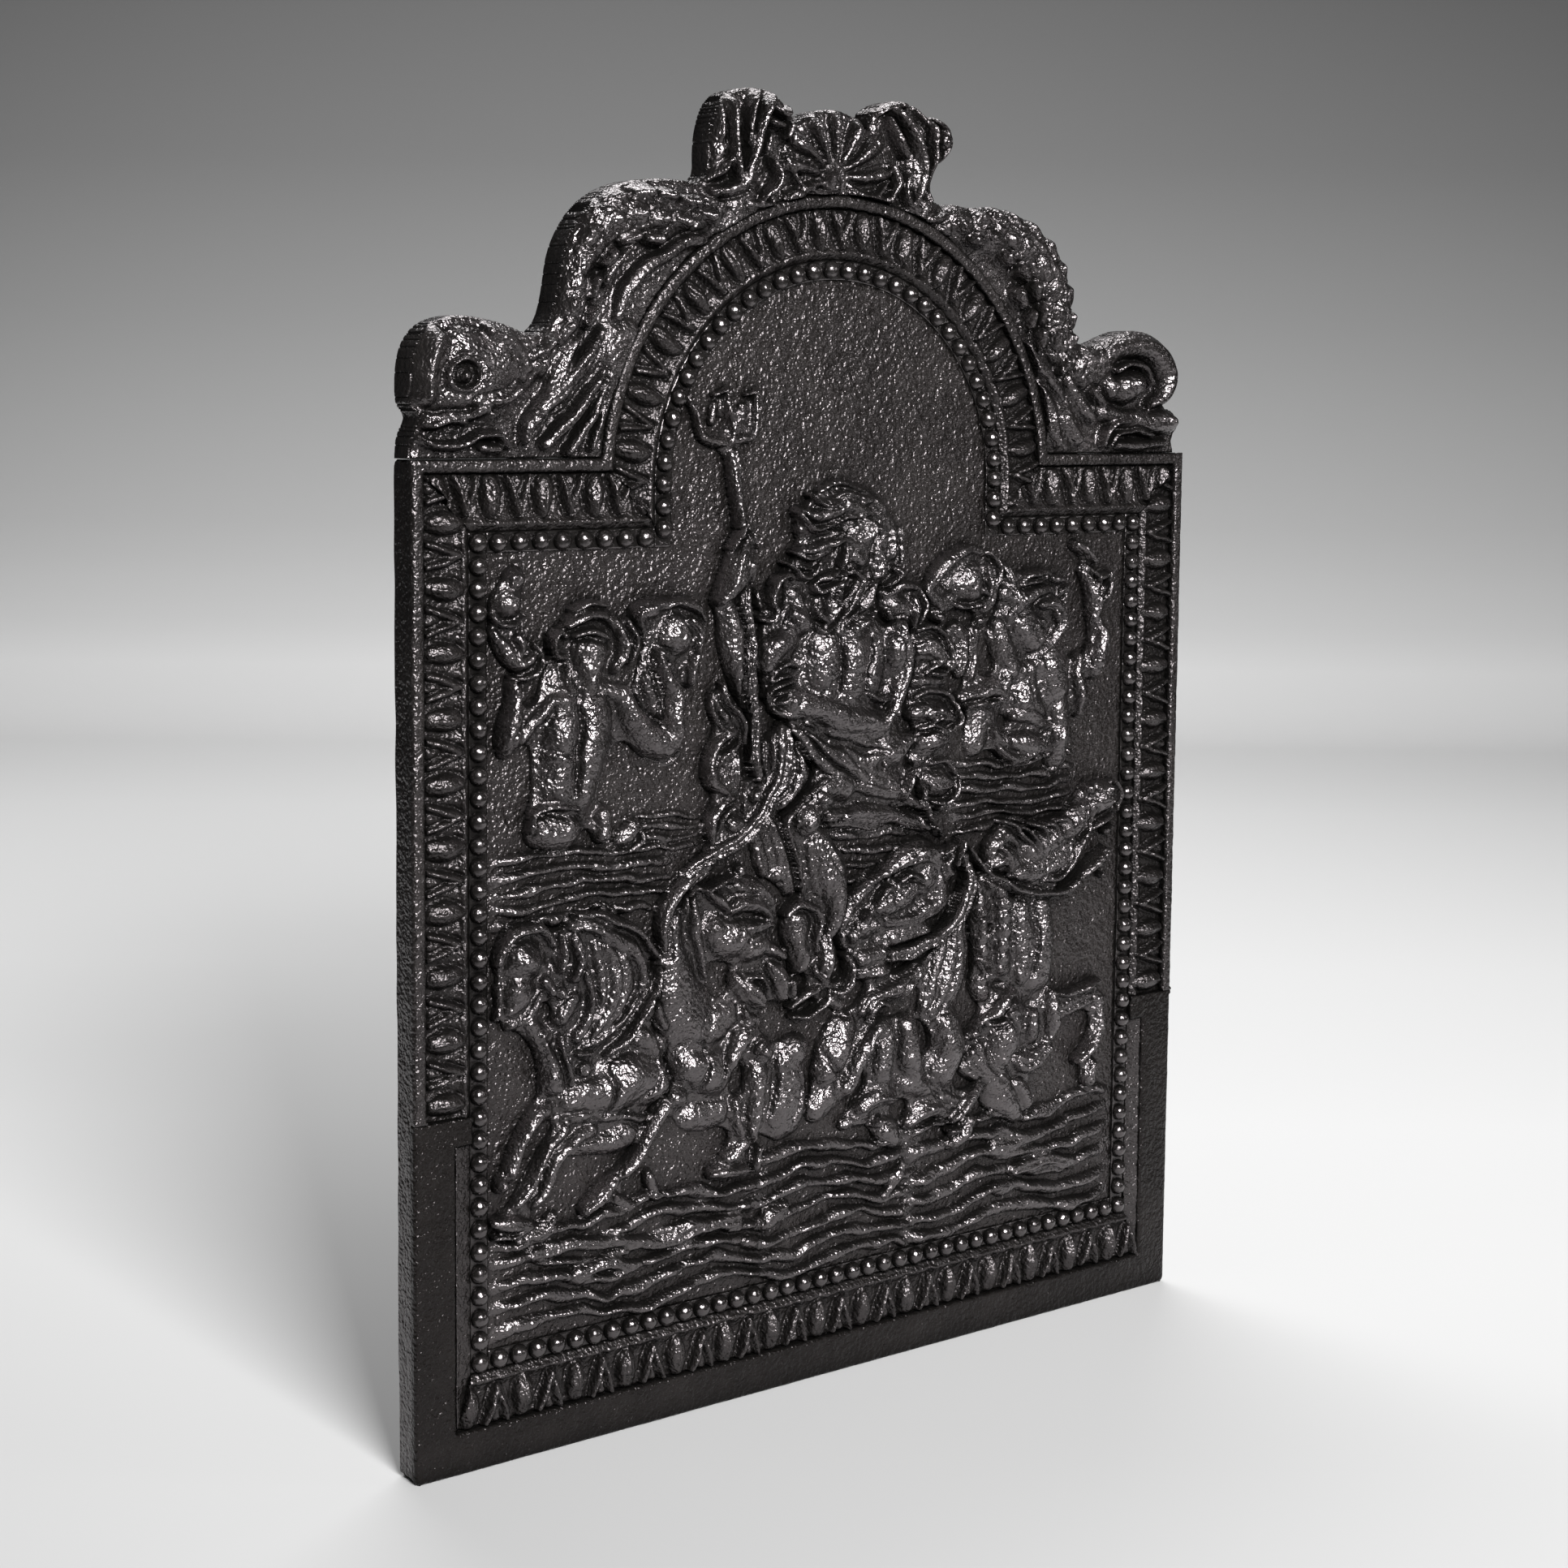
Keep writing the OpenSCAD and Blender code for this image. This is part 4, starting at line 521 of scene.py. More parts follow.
        limb(86,256,1.2,10, 87.4,245,1.3,12, 83,231,1.4,12.5, 75,222,1.4,12.5, 64,215.5,1.3,12,
             50,211.5,1.3,11, 34,211,1.1,9),
        limb(88,262,2,7, 96,254,2.2,8, 106,246,2.4,8.5, 118,240,2.6,9, 130,236,2.8,9.5, 144,234,2.8,9.5,
             158,235,2.8,9, 168,240,2.8,9),
        ribbed(3.6, 170,241,3,9, 178,247,3.6,10.5, 185,254,3,9.5), limb(184,240,1.6,7, 187,239,1.4,6),
    ],
    "sea_god": [
        limb(4,390,18,8, 4,370,26,9.5, 4,346,25,9), limb(6,336,24,8, 24,330,17,9, 34,318,10,9),
        limb(36,372,9,9, 38,354,6,7, 40,338,4,6), limb(0,322,14,7, 16,312,14,8, 34,300,12,7),
        lock(3, 4,306,6,7, 22,300,7,8.5, 40,296,6,7.5, 56,288,4,6),
        limb(24,316,7,9, 33,318,10,11.5, 44,323,6,9), limb(28,312,2.4,12),
        limb(48,308,2.4,8, 45,302,3.6,11, 42,294,3.2,9),
        limb(-12,277,9,10, -6,262,12,13, -2,247,10.5,12.5, -3,234,8,11),
        limb(-18,276,5,7, -15,262,5,7, -12,250,4,6),
        limb(-9,277,1.8,11, -5,270,2.4,12.5, -2,263,2,12.5),
        limb(-24,240,9,9, -25,228,8,9.5, -23,216,6.5,9.5), swell(-22,220,4,1.4),
        limb(-32,242,2,8, -26,246.5,2.2,9.5, -19,246,2.4,10, -14,240,2.4,10, -12.5,230,2.4,9.5,
             -13,221,2,8),
        limb(-2,196,5,6, 4,192,5,5), lock(3, -6,229,5,9, -7,216,6.5,11, -9,204,6,10),
        limb(-16,213,1.6,10, -10,208,1.8,11.5, -6,202,1.6,11),
        limb(-28,195,1.8,7, -20,199.5,3,9, -12,202.5,2.6,9.5),
        limb(-27,190,1.6,7, -16,189.5,2.2,8.5, -6,194,2.6,9, -4,200,2.4,9),
        limb(5,217,2.4,8, 9,210,3.2,10, 8.5,202,3.2,10.5, 3,197.5,2.6,9.5, -1,198,2,8), groove(6,206,1,1),
        strap(-30,334,3,8, -15,321,3.4,9, -2,311,3.4,9, 8,304,3,8),
        strap(-22,336,3,8, -8,325,3.4,9, 4,315,3.4,9, 16,306,3,8),
        limb(-8,304,9,10, 4,303,9,10), limb(-7,309,1.4,10, -15,304.5,1.5,11, -22,300,1.4,10),
        limb(-6,309.5,1.3,10, 2,306,1.4,11, 6,303,1.2,10),
        limb(-12,297,9,12), limb(-20,289,10.5,13), limb(-24,287,1.8,13, -19,290.5,2,13.6, -15,293,1.6,13),
        limb(-14,297,2,13, -11,299,1.8,13),
        limb(-23,297.5,1.5,8, -29,294,1.7,9, -33,289,1.7,9.5, -31,281.5,1.7,9, -28,275,1.7,8.5,
             -25,268,1.8,8, -24,261,1.6,7.5, -21,251,1.5,6),
        lock(3, -7,289,4,8, 4,289,5,9, 18,288,5.5,9, 32,285,5,8, 50,279,3,6),
        limb(2,287,1.4,10, 6,290,1.5,10.5),
        groove(2,281.5,2.6,3, 14,280,3.4,4, 26,281,2.4,3),
        limb(-42,344,2.6,7, -33,341.5,3.4,8.5, -24,342,3.4,8, -18,344,2.6,7),
        groove(-46,340,1.2,1.6, -36,336,1.4,2, -24,335,1.2,2),
        swell(-11,378,10,3, -13,367,13,4.2, -14,355,11,3), swell(8,378,8,2.6, 7.5,365,9.5,3.8, 5,353,8,2.6),
        swell(32,384,11,3, 31,371,12.5,4.2, 25,357,9,3.4, 21,349,7,2),
        groove(-1.5,378,1.6,2.6, -1,365,2,3.8, -3,351,1.6,2.6),
        groove(17.5,380,1.6,2.4, 18,366,2,3.6, 14,352,1.6,2.4),
        limb(39,381,6,11, 41,364,6,11.5, 36,346,6,11.5, 26,332,6,11.5),
        limb(27,333,7.5,11, 8,337,10,12.6, -14,343,9.5,12.6, -30,347,8,12),
        limb(15,350,1.8,10, 21,347.5,2,12, 28,347,2,12.2),
        groove(30,318,2,2.5, 14,321,2.6,4.5, -4,327,2.6,5, -22,334,2,3.5),
        limb(-22,392,9,7, -26,400,7,5), limb(-30,396,1.6,9, -32,391,1.8,9.5, -35,386,1.5,8.5),
        limb(-25,386,8,11.5, -29,390,6,10), limb(-33,380,8,10, -42,375,9,12.5, -46,367,7,10.5),
        swell(-43,377,5,1),
        limb(-38,353,9,6, -34,352,8,6), limb(-45,359,1.8,8, -40,364,2.2,9, -33,366.5,2.4,9, -27,365,2,8),
        limb(-44,358,1.5,9, -37,359.3,1.7,10, -31,359,1.4,9),
        limb(-47,350.5,1.6,8.5, -44,355,1.7,10, -36,355.6,1.7,10.5, -29,356.5,1.5,9.5),
        limb(-42,351.7,1.5,9.5, -36,352,1.7,10.2, -29,352.5,1.5,9),
        limb(-39,347,1.7,8.5, -34,347.5,2.2,10, -29,348.6,1.7,9),
        limb(-69,399,7,7, -66,384,7.5,9, -63,368,6.5,8.5, -60,356,4,7, -57,347,2.6,5),
        limb(-58,427,6,9, -61,416,7.5,11, -68,406,8,12, -74,400,5,10),
        lock(4, -58,428,4,10, -64,418,6,12.5, -70,407,6,13, -75,400,3,10),
        limb(-68,425,2,9, -64,430,2.4,11, -59,437,2.2,10), limb(-55,431,2.6,9, -52,425,2.6,8),
        limb(-56,416,4,9.5, -56,408,3,8),
        limb(34,429,5,6, 34,418,4,6), limb(37,432,1.5,6, 38.5,420,1.7,7, 37,410,1.6,7),
        limb(8,448,8,5, 22,442,8,5.5, 31,434,6,6),
        limb(-12,451,2,5, -4,454,2.4,6, 8,452,2.4,6, 18,448,2.4,6, 28,441,2.4,6),
        lock(2, -18.5,448,2,8, -12,444.5,3,10, -5,445,3.4,10.5, 2,447.5,3.6,11, 12,446,3.4,10, 19,446,2,8),
        limb(1,444,3.2,11.5, 8,443,3,11),
        limb(-19,449,1.3,10, -16,445,1.4,11, -10,442.6,1.5,11.5, -3,444.5,1.3,11),
        limb(8,421,15,10.5, 12,430,13,10), limb(24,424,8,10, 22,412,8,10),
        limb(-24,432,4,7, -14,431,4,8, -4,430,4,8),
        limb(-27,440,3,8, -18,437,5,10, -8,439,5.4,11, 2,442,5,11.5, 12,441,4.4,10.5, 18,439,3,9),
        limb(-29,439.5,1.4,10, -26,435.5,1.7,12, -19,431.8,1.8,12.6, -12,433,1.7,12.8, -6,435.6,1.6,12.6,
             0,437.5,1.4,12), lock(2, 0,438,2,11.5, 7,437.5,2.6,11.5, 14,439,2,10),
        lock(3, -25,422,3,9, -14,423,4.4,11, -6,425.5,4.2,11.5, -1,430,2.6,10),
        limb(-30,421,1.4,8, -22,418.8,1.6,9.5, -14,419.8,1.5,10, -8,421.5,1.3,9.5),
        limb(-35,416.5,1.3,8, -31,413.6,1.6,10, -26.5,409.8,1.8,10.5, -21,409.4,1.8,10.5, -17,413,1.7,10.5,
             -13.5,417.5,1.4,9),
        limb(-26,414,1.2,8, -20,413,1.3,8.5),
        limb(-30.5,408.5,1.6,9, -34,410.6,1.9,10, -38,409,2,10, -41.5,404.5,2.3,10, -43,398,2.3,9.5,
             -40.5,392,2,9.5, -43,388,1.9,9.5, -49,389.8,1.7,8), limb(-48,396,2,7, -50,403,1.8,6),
        lock(3, 12,436,4,10.5, 18,431,5,12, 14,427,4,11.5, 8,424.5,3,10), limb(24,431,5,10, 27,426,4,10),
        lock(3, 20,419.5,3,10.5, 24,415.5,4.6,12, 23,409,4,11.5, 18,407,2.6,10),
        groove(21,418,1,1, 25,412,1,1),
        limb(33,412,1.8,9, 36,408,2.6,10.5, 32,404,2.2,9.5, 29,403,1.6,8),
        swell(0,420,11,1.2), limb(-7,424,1.5,11.5, -2,426,1.7,12.4, 4,425,1.6,12.2, 10,423.5,1.4,11.4),
        groove(-5,421.5,1.9,1, -2.5,421.4,1.6,1), groove(5,421,2,1, 9,420.6,1.6,0.9),
        swell(-3.8,421.2,1.3,0.8), swell(6.5,420.7,1.4,0.8),
        limb(0.2,424,1.2,12.4, -0.9,418.5,1.7,13.2, -1.8,415,2.1,13.4), swell(9,415.5,4,1),
        swell(-7,416,2.6,0.6),
        groove(-5,413.2,0.9,0.8), groove(1.8,413,0.9,0.8),
        limb(-4,409.8,1.1,12.2, -0.5,410.4,1.2,12.7, 4.5,409.6,1.1,12.2),
        lock(3, 12,409,4,10, 10,402,5.4,11, 4,393,5.4,11, 0,383,3.6,10, 2,378,2,9),
        lock(3, 20,403,4,9.5, 16,396,5,10, 10,390,4,10),
        lock(3, 4,411.5,2.6,11, 9,408.6,3,11.4, 13,405,2.6,10),
        lock(3, -3,412,2.4,11, -9,409,3.2,11.6, -16,407,2.6,10),
        lock(3, 0,408,4,11, -6,399,6.4,12, -8,389,5,11.4, -12,383,2.4,9.5),
        lock(2, -18,406,2,9.5, -14,401.6,2.8,11, -9,403.5,2.6,11.8, -3,405.4,2.2,11.4),
        lock(2, -18.5,396,2,9.5, -15,390,2.6,11, -11,388.4,2.6,11.4),
        limb(-10,399,1.5,12, -8,402,1.5,12.6, -4,401,1.5,12.6, -3,397,1.4,12.4, -6,394.6,1.4,12.2),
        limb(-6.5,398,1.8,12.8),
        limb(-6,392,1.2,12, -1,396,1.4,12.8, 4,400,1.4,12.6),
        limb(-2,387.5,1.2,12, 3,391.5,1.4,12.8, 8,396.5,1.4,12.2),
        limb(2,385,1.2,11.5, 6,388,1.3,12, 11,392,1.2,11.2),
        limb(-16.5,384.5,1.2,10, -12,381.6,1.5,11.4, -7,384,1.5,11.6, -2,386,1.2,11),
        lock(3, 20,391,2.8,9.5, 14,386.5,3.6,11, 8,382,2.8,10.5, 3.5,379,1.6,9.5),
    ],
    "trident": [
        limb(-58.5,403,4.2,8, -56,382,4.2,9.5, -53.5,352,3.9,8.5, -51,330,4,8.5, -50,313,3.8,8),
        limb(-61.5,402,1.2,9, -59,380,1.2,9.6, -56.6,355,1.2,9.4, -54.4,333,1.1,9, -53.6,316,1,8.6),
        limb(-67,475,3.4,6, -65,458,3.6,7.5, -62.5,446,3.6,8, -60,430,3.6,8),
        limb(-64.6,472,1.1,7, -62.8,458,1.2,7.4, -60.6,446,1.1,7),
        limb(-76,492,2.6,3, -76,485,2.6,3), limb(-59,492,2.6,3, -59,485,2.4,3),
        limb(-90,496,2.2,5, -87.5,489,2.2,6, -85,481,2.4,6, -80,476.5,2.6,6.5, -70,476,2.6,6.5,
             -60,476.4,2.6,6.5, -54,478,2.4,6, -52.6,486,2.2,6, -51,500,2,5),
        limb(-69,501,1.8,5, -68.6,492,2.2,6, -66,484,2.2,6.5, -66,477,2,6.5),
        limb(-70,499.5,1.1,6, -77,496.5,1.1,5), limb(-51.5,499,1.1,6, -58,498,1.1,5),
    ],
}


# A mesh object from whole arrays of points (mm) and quads; flat tells which faces aren't shaded smooth
def meshObject(name, points, quads, flat):
    mesh = bpy.data.meshes.new(name)
    mesh.vertices.add(len(points))
    mesh.vertices.foreach_set("co", (points * mm).astype(np.float32).ravel())
    mesh.loops.add(quads.size)
    mesh.loops.foreach_set("vertex_index", quads.ravel().astype(np.int32))
    mesh.polygons.add(len(quads))
    mesh.polygons.foreach_set("loop_start", np.arange(0, quads.size, 4, dtype=np.int32))
    mesh.polygons.foreach_set("use_smooth", ~flat)
    mesh.update(calc_edges=True)
    mesh.validate()
    piece = bpy.data.objects.new(name, mesh)
    scene.collection.objects.link(piece)
    return piece


# A dressed piece rides on the body, stands for its node, which is hidden, and takes the finish it is given
def dress(name, arrays, node, material):
    piece = meshObject(name, *arrays)
    piece.data.materials.append(material)
    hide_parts(node)
    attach(piece, "root")
    print(name, len(piece.data.polygons))


# A closed shell from a grid: the kept cells as its face, walls along their border, a flat side at y = under
def shellArrays(x, y, z, keep, under):
    rows, cols = x.shape
    number = np.arange(rows * cols).reshape(rows, cols)
    quads = np.stack([number[:-1, :-1], number[:-1, 1:], number[1:, 1:], number[1:, :-1]], -1)
    middle = (slice(rows // 2 - 1, rows // 2 + 1), slice(cols // 2 - 1, cols // 2 + 1))
    a = np.stack([x[middle], z[middle]], -1)
    padded = np.pad(keep, 1)
    beside = [padded[:-2, 1:-1], padded[1:-1, 2:], padded[2:, 1:-1], padded[1:-1, :-2]]
    if np.cross(a[0, 1] - a[0, 0], a[1, 0] - a[0, 0]) < 0:  # a mirrored grid: turn the quads to face outward
        quads = quads[..., ::-1]
        beside = [beside[2], beside[1], beside[0], beside[3]]
    top = quads[keep]
    edges = []
    for side in range(4):
        border = quads[keep & ~beside[side]]
        edges.append(np.stack([border[:, side], border[:, (side + 1) % 4]], -1))
    edges = np.vstack(edges)
    lower = rows * cols
    walls = np.stack([edges[:, 1], edges[:, 0], edges[:, 0] + lower, edges[:, 1] + lower], -1)
    faces = np.vstack([top, walls, top[:, ::-1] + lower])
    points = np.stack([x.ravel(), y.ravel(), z.ravel()], -1)
    deep = points.copy()
    deep[:, 1] = under
    used, faces = np.unique(faces, return_inverse=True)
    faces = faces.reshape(-1, 4)
    return np.vstack([points, deep])[used], faces, np.arange(len(faces)) >= len(top)


# Puts several closed shapes into one set of points, faces and flat marks
def joinArrays(parts):
    points, faces, flat, start = [], [], [], 0
    for p, f, s in parts:
        points.append(p)
        faces.append(f + start)
        flat.append(s)
        start += len(p)
    return np.vstack(points), np.vstack(faces), np.concatenate(flat)


# Signed distance to a closed outline, positive inside (a ray from the point crosses the outline an odd
# number of times), and the nearest point on it
def outlineDistance(px, pz, outline):
    corners = np.array(outline, float)
    best = np.full(px.shape, 1e9)
    nx, nz = px.copy(), pz.copy()
    inside = np.zeros(px.shape, bool)
    for (ax, az), (bx, bz) in zip(corners, np.roll(corners, -1, 0)):
        dx, dz = bx - ax, bz - az
        long = dx * dx + dz * dz
        if long < 1e-9:
            continue
        t = np.clip(((px - ax) * dx + (pz - az) * dz) / long, 0, 1)
        qx, qz = ax + t * dx, az + t * dz
        d = np.hypot(px - qx, pz - qz)
        near = d < best
        best = np.where(near, d, best)
        nx = np.where(near, qx, nx)
        nz = np.where(near, qz, nz)
        inside ^= ((az > pz) != (bz > pz)) & (px < dx * (pz - az) / (dz if dz != 0 else 1e-9) + ax)
    return np.where(inside, best, -best), nx, nz


# How a grid is cut along a border: points nearer to it than pull steps slide on to it, and steep is the
# least square of a distance's slope
cutLook = {"pull": 0.45, "steep": 0.3}


def cellMiddles(values):
    return (values[:-1, :-1] + values[1:, 1:] + values[:-1, 1:] + values[1:, :-1]) / 4


# Keeps the cells of a grid that lie inside an outline, and pulls the border's points on to it
def trimmed(x, z, outline, step):
    distance, nx, nz = outlineDistance(x, z, outline)
    pull = distance < cutLook["pull"] * step
    return np.where(pull, nx, x), np.where(pull, nz, z), cellMiddles(distance) > 0


# The same for a border given by a distance: its points slide along the distance's slope
def cutByDistance(x, z, distance, step):
    dz, dx = np.gradient(distance, step)
    size = np.maximum(dx**2 + dz**2, cutLook["steep"])
    move = np.where(distance < cutLook["pull"] * step, distance, 0)
    return x - move * dx / size, z - move * dz / size, cellMiddles(distance) > 0


# A quarter circle down at the border: the drop below full height at a given distance inside it
def roundedDrop(distance, radius):
    d = np.clip(distance, 0, radius)
    return radius - np.sqrt(radius**2 - (radius - d)**2)


def gridOf(x0, x1, z0, z1, step):
    return np.meshgrid(np.arange(x0, x1 + step / 2, step), np.arange(z0, z1 + step / 2, step))


# Distance to the plate's stepped and arched outline moved in by inset: the larger of those to its square
# part, which goes on down, and to the arch's circle
def archedDistance(x, z, inset):
    square = np.minimum(plate["halfWidth"] - inset - np.abs(x), plate["shoulder"] - inset - z)
    arch = plate["archRadius"] - inset - np.hypot(x, z - plate["archCentre"])
    return np.maximum(square, arch)


# The distance with the plate's two bottom corners rounded to a circle's arc
def roundedCorners(x, z, distance):
    radius = plate["corner"]
    dx, dz = plate["halfWidth"] - radius - np.abs(x), radius - z
    corner = radius - np.hypot(np.minimum(dx, 0), np.maximum(dz, 0))
    return np.where((dx < 0) & (dz > 0), corner, distance)


# Sand-cast roughness: fine and broader unevenness together; size in mm, share of the fine one
roughLook = {"fine": 1.5, "broad": 5, "fineShare": 0.6}


def castRough(shape, step, amount, seed):
    fine = roughLook["fineShare"] * unevenness(shape, roughLook["fine"] / step, seed)
    return amount * (fine + unevenness(shape, roughLook["broad"] / step, seed + 1))


# Blackened iron. Noises are (scale, detail, roughness) on object coordinates; cover is the ambient occlusion
# that paints shade into hollows, how much of the near surroundings covers a spot, as (samples, reach in mm,
# from, to), and the colour and shine of that painted shade follow it; back is where the shine fades, in mm
ironLook = {"fine": (480, 1.5, 0.5), "broad": (150, 2, 0.5), "patch": (28, 4, 0.6), "worn": (0.42, 0.68),
            "cover": (6, 13, 0.45, 0.95), "paintedShade": (0.004, 0.0037, 0.0035, 1), "ior": 1.68,
            "tint": (1, 0.91, 0.93, 1), "paintedShadeShine": 0.04, "back": (2, 11), "backShine": 0.5,
            "gloss": (0.3, 0.7)}


# Dark iron; fine grain and broader unevenness move the bump and the gloss, patches are rubbed a little
# brighter, hollows found by ambient occlusion get painted shade (a darker colour and far less shine), and
# the back is dull
def iron(name, colour, worn, roughness, grain, pits, shine):
    look = ironLook
    material = bpy.data.materials.new(name)
    material.use_nodes = True
    tree = material.node_tree
    tree.nodes.clear()
    node = tree.nodes.new
    link = tree.links.new
    out = node("ShaderNodeOutputMaterial")
    shader = node("ShaderNodeBsdfPrincipled")
    link(shader.outputs[0], out.inputs[0])
    place = node("ShaderNodeTexCoord")

    def noise(scale, detail, rough):
        n = node("ShaderNodeTexNoise")
        n.inputs["Scale"].default_value = scale
        n.inputs["Detail"].default_value = detail
        n.inputs["Roughness"].default_value = rough
        link(place.outputs["Object"], n.inputs["Vector"])
        return n.outputs["Fac"]

    def ranged(value, low, high, out0, out1):
        r = node("ShaderNodeMapRange")
        for socket, number in zip(("From Min", "From Max", "To Min", "To Max"), (low, high, out0, out1)):
            r.inputs[socket].default_value = number
        link(value, r.inputs["Value"])
        return r.outputs["Result"]

    def mixed(factor):
        m = node("ShaderNodeMix")
        m.data_type = "RGBA"
        link(factor, m.inputs["Factor"])
        return m

    def bump(height, distance):
        b = node("ShaderNodeBump")
        b.inputs["Strength"].default_value = 1
        b.inputs["Distance"].default_value = distance * mm
        link(height, b.inputs["Height"])
        return b

    fine, broad, patch = noise(*look["fine"]), noise(*look["broad"]), noise(*look["patch"])
    samples, reach, low, high = look["cover"]
    # Painted shade: ambient occlusion darkens the colour in hollows and, further down, takes their shine
    # away
    cover = node("ShaderNodeAmbientOcclusion")
    cover.samples = samples
    cover.inputs["Distance"].default_value = reach * mm
    unshadedShare = ranged(cover.outputs["AO"], low, high, 0, 1)
    paintedShade = mixed(unshadedShare)
    paintedShade.inputs["A"].default_value = look["paintedShade"]
    rubbed = mixed(ranged(patch, *look["worn"], 0, 1))
    rubbed.inputs["A"].default_value = (*colour, 1)
    rubbed.inputs["B"].default_value = (*worn, 1)
    link(rubbed.outputs["Result"], paintedShade.inputs["B"])
    link(paintedShade.outputs["Result"], shader.inputs["Base Color"])
    shader.inputs["IOR"].default_value = look["ior"]
    shader.inputs["Specular Tint"].default_value = look["tint"]
    split, dull = node("ShaderNodeSeparateXYZ"), node("ShaderNodeMath")
    dull.operation = "MULTIPLY"
    link(place.outputs["Object"], split.inputs[0])
    near, far = look["back"]
    faded = look["backShine"] / max(shine, look["backShine"])
    link(ranged(split.outputs["Y"], near * mm, far * mm, 1, faded), dull.inputs[0])
    # Painted shade in the shine: hollows keep only a small share of it
    link(ranged(unshadedShare, 0, 1, look["paintedShadeShine"], shine), dull.inputs[1])
    link(dull.outputs[0], shader.inputs["Specular IOR Level"])
    link(ranged(broad, *look["gloss"], *roughness), shader.inputs["Roughness"])
    low = bump(broad, pits)
    high = bump(fine, grain)
    link(low.outputs[0], high.inputs["Normal"])
    link(high.outputs[0], shader.inputs["Normal"])
    return material


# By finish: colour, rubbed colour, roughness from and to, heights of grain and pits in mm, and shine
ironFinishes = {
    "board": ((0.006, 0.005, 0.0046), (0.012, 0.0104, 0.0097), (0.25, 0.36), 1.5, 1.3, 0.5),
    "margin": ((0.004, 0.0034, 0.003), (0.008, 0.0069, 0.0063), (0.26, 0.36), 1.2, 0.6, 0.16),
    "frame": ((0.004, 0.0034, 0.003), (0.010, 0.0087, 0.008), (0.28, 0.40), 1.25, 0.6, 0.58),
    "beads": ((0.005, 0.0045, 0.0041), (0.012, 0.0109, 0.0102), (0.18, 0.25), 0.35, 0.2, 0.85),
    "crest": ((0.004, 0.0035, 0.0032), (0.011, 0.0098, 0.0092), (0.22, 0.35), 1.15, 0.55, 1.05),
    "figures": ((0.004, 0.0036, 0.0033), (0.011, 0.0099, 0.0093), (0.22, 0.35), 1.15, 0.55, 1.05),
}
finishes = {name: iron("iron" + name.capitalize(), *values) for name, values in ironFinishes.items()}
print("finishes made")


# The carved scene is one height field, cut into its figures. Lengths and heights in mm; fine and broad are
# (height, size, seed) of the casting's unevenness
sceneLook = {"span": (-200.4, 200.5, 54.4, 555), "step": 0.8, "steps": 6, "moatWidth": 1.3, "moatDepth": 2.2,
             "blend": 0.7, "melt": 1.4, "sunk": -1.0, "warp": (0.7, 9, (11, 12)), "soften": 0.45,
             "closing": 8, "filled": 0.7, "coverFrom": 0.5, "coverOver": 0.12, "leastCover": 0.2,
             "low": 0.3, "gapBlend": 1.2, "fine": (0.10, 1.8, 1), "broad": (0.16, 5, 2), "roughRise": 0.5,
             "roughMost": 1.2, "highest": 13.9, "shownFrom": -0.85, "under": 3.0}


# Fills the narrow gaps inside a figure: where blurred coverage says inside, the ground there rises to
# most of the blurred height of the figure around it, so that its limbs grow out of one body
def closeGaps(field, owner, number, step):
    look = sceneLook
    mine = (owner == number).astype(float)
    cover = softened(mine, look["closing"] / step)
    height = softened(mine * np.maximum(field, 0), look["closing"] / step)
    height = height / np.maximum(cover, look["leastCover"])
    inside = np.clip((cover - look["coverFrom"]) / look["coverOver"], 0, 1)
    level = look["filled"] * height * inside
    free = ((owner == number) | (field < look["low"])) & (inside > 0)
    lift = free & (level > field)
    blend = np.maximum(look["gapBlend"] - np.abs(level - field), 0)**2 / (4 * look["gapBlend"])
    field += np.where(free, blend, 0)
    field[:] = np.where(lift, np.maximum(level, field), field)
    owner[lift] = number


# Lays all strokes, fills the gaps, roughens what stands up, and makes a shell of each figure's cells
def carveScene():
    look = sceneLook
    step = look["step"]
    x0, x1, z0, z1 = look["span"]
    xs = np.arange(x0, x1, step)
    zs = np.arange(z0, z1, step)
    field = np.full((len(zs), len(xs)), look["sunk"])
    owner = np.zeros(field.shape, int)
    amount, size, seeds = look["warp"]
    warp = warpFields(field.shape, amount, size / step, seeds)
    for number, strokes in enumerate(figures.values(), 1):
        for stroke in strokes:
            layStroke(field, owner, (xs[0], zs[0], step), stroke, number, look, warp)
    for number, name in enumerate(figures, 1):
        if not name.startswith("waves"):
            closeGaps(field, owner, number, step)
    field = softened(field, look["soften"] / step)
    fine, broad = (high * unevenness(field.shape, size / step, seed)
                   for high, size, seed in (look["fine"], look["broad"]))
    field = field + (fine + broad) * np.clip(field * look["roughRise"], 0, look["roughMost"])
    field = np.minimum(field, look["highest"])
    print("scene carved, highest", field.max())
    x, z = np.meshgrid(xs, zs)
    highest = np.maximum.reduce([field[:-1, :-1], field[1:, 1:], field[:-1, 1:], field[1:, :-1]])
    for number, name in enumerate(figures, 1):
        keep = (owner[:-1, :-1] == number) & (highest > look["shownFrom"])
        arrays = shellArrays(x, plate["ground"] - field, z, keep, plate["ground"] + look["under"])
        dress(name + "_carved", arrays, name, finishes["figures"])


carveScene()


marginLook = {"span": (-240.3, 240.3, -0.45, 168.3), "step": 0.9, "height": 4, "round": 1.8, "flatFrom": 166,
              "rough": (0.06, 21)}


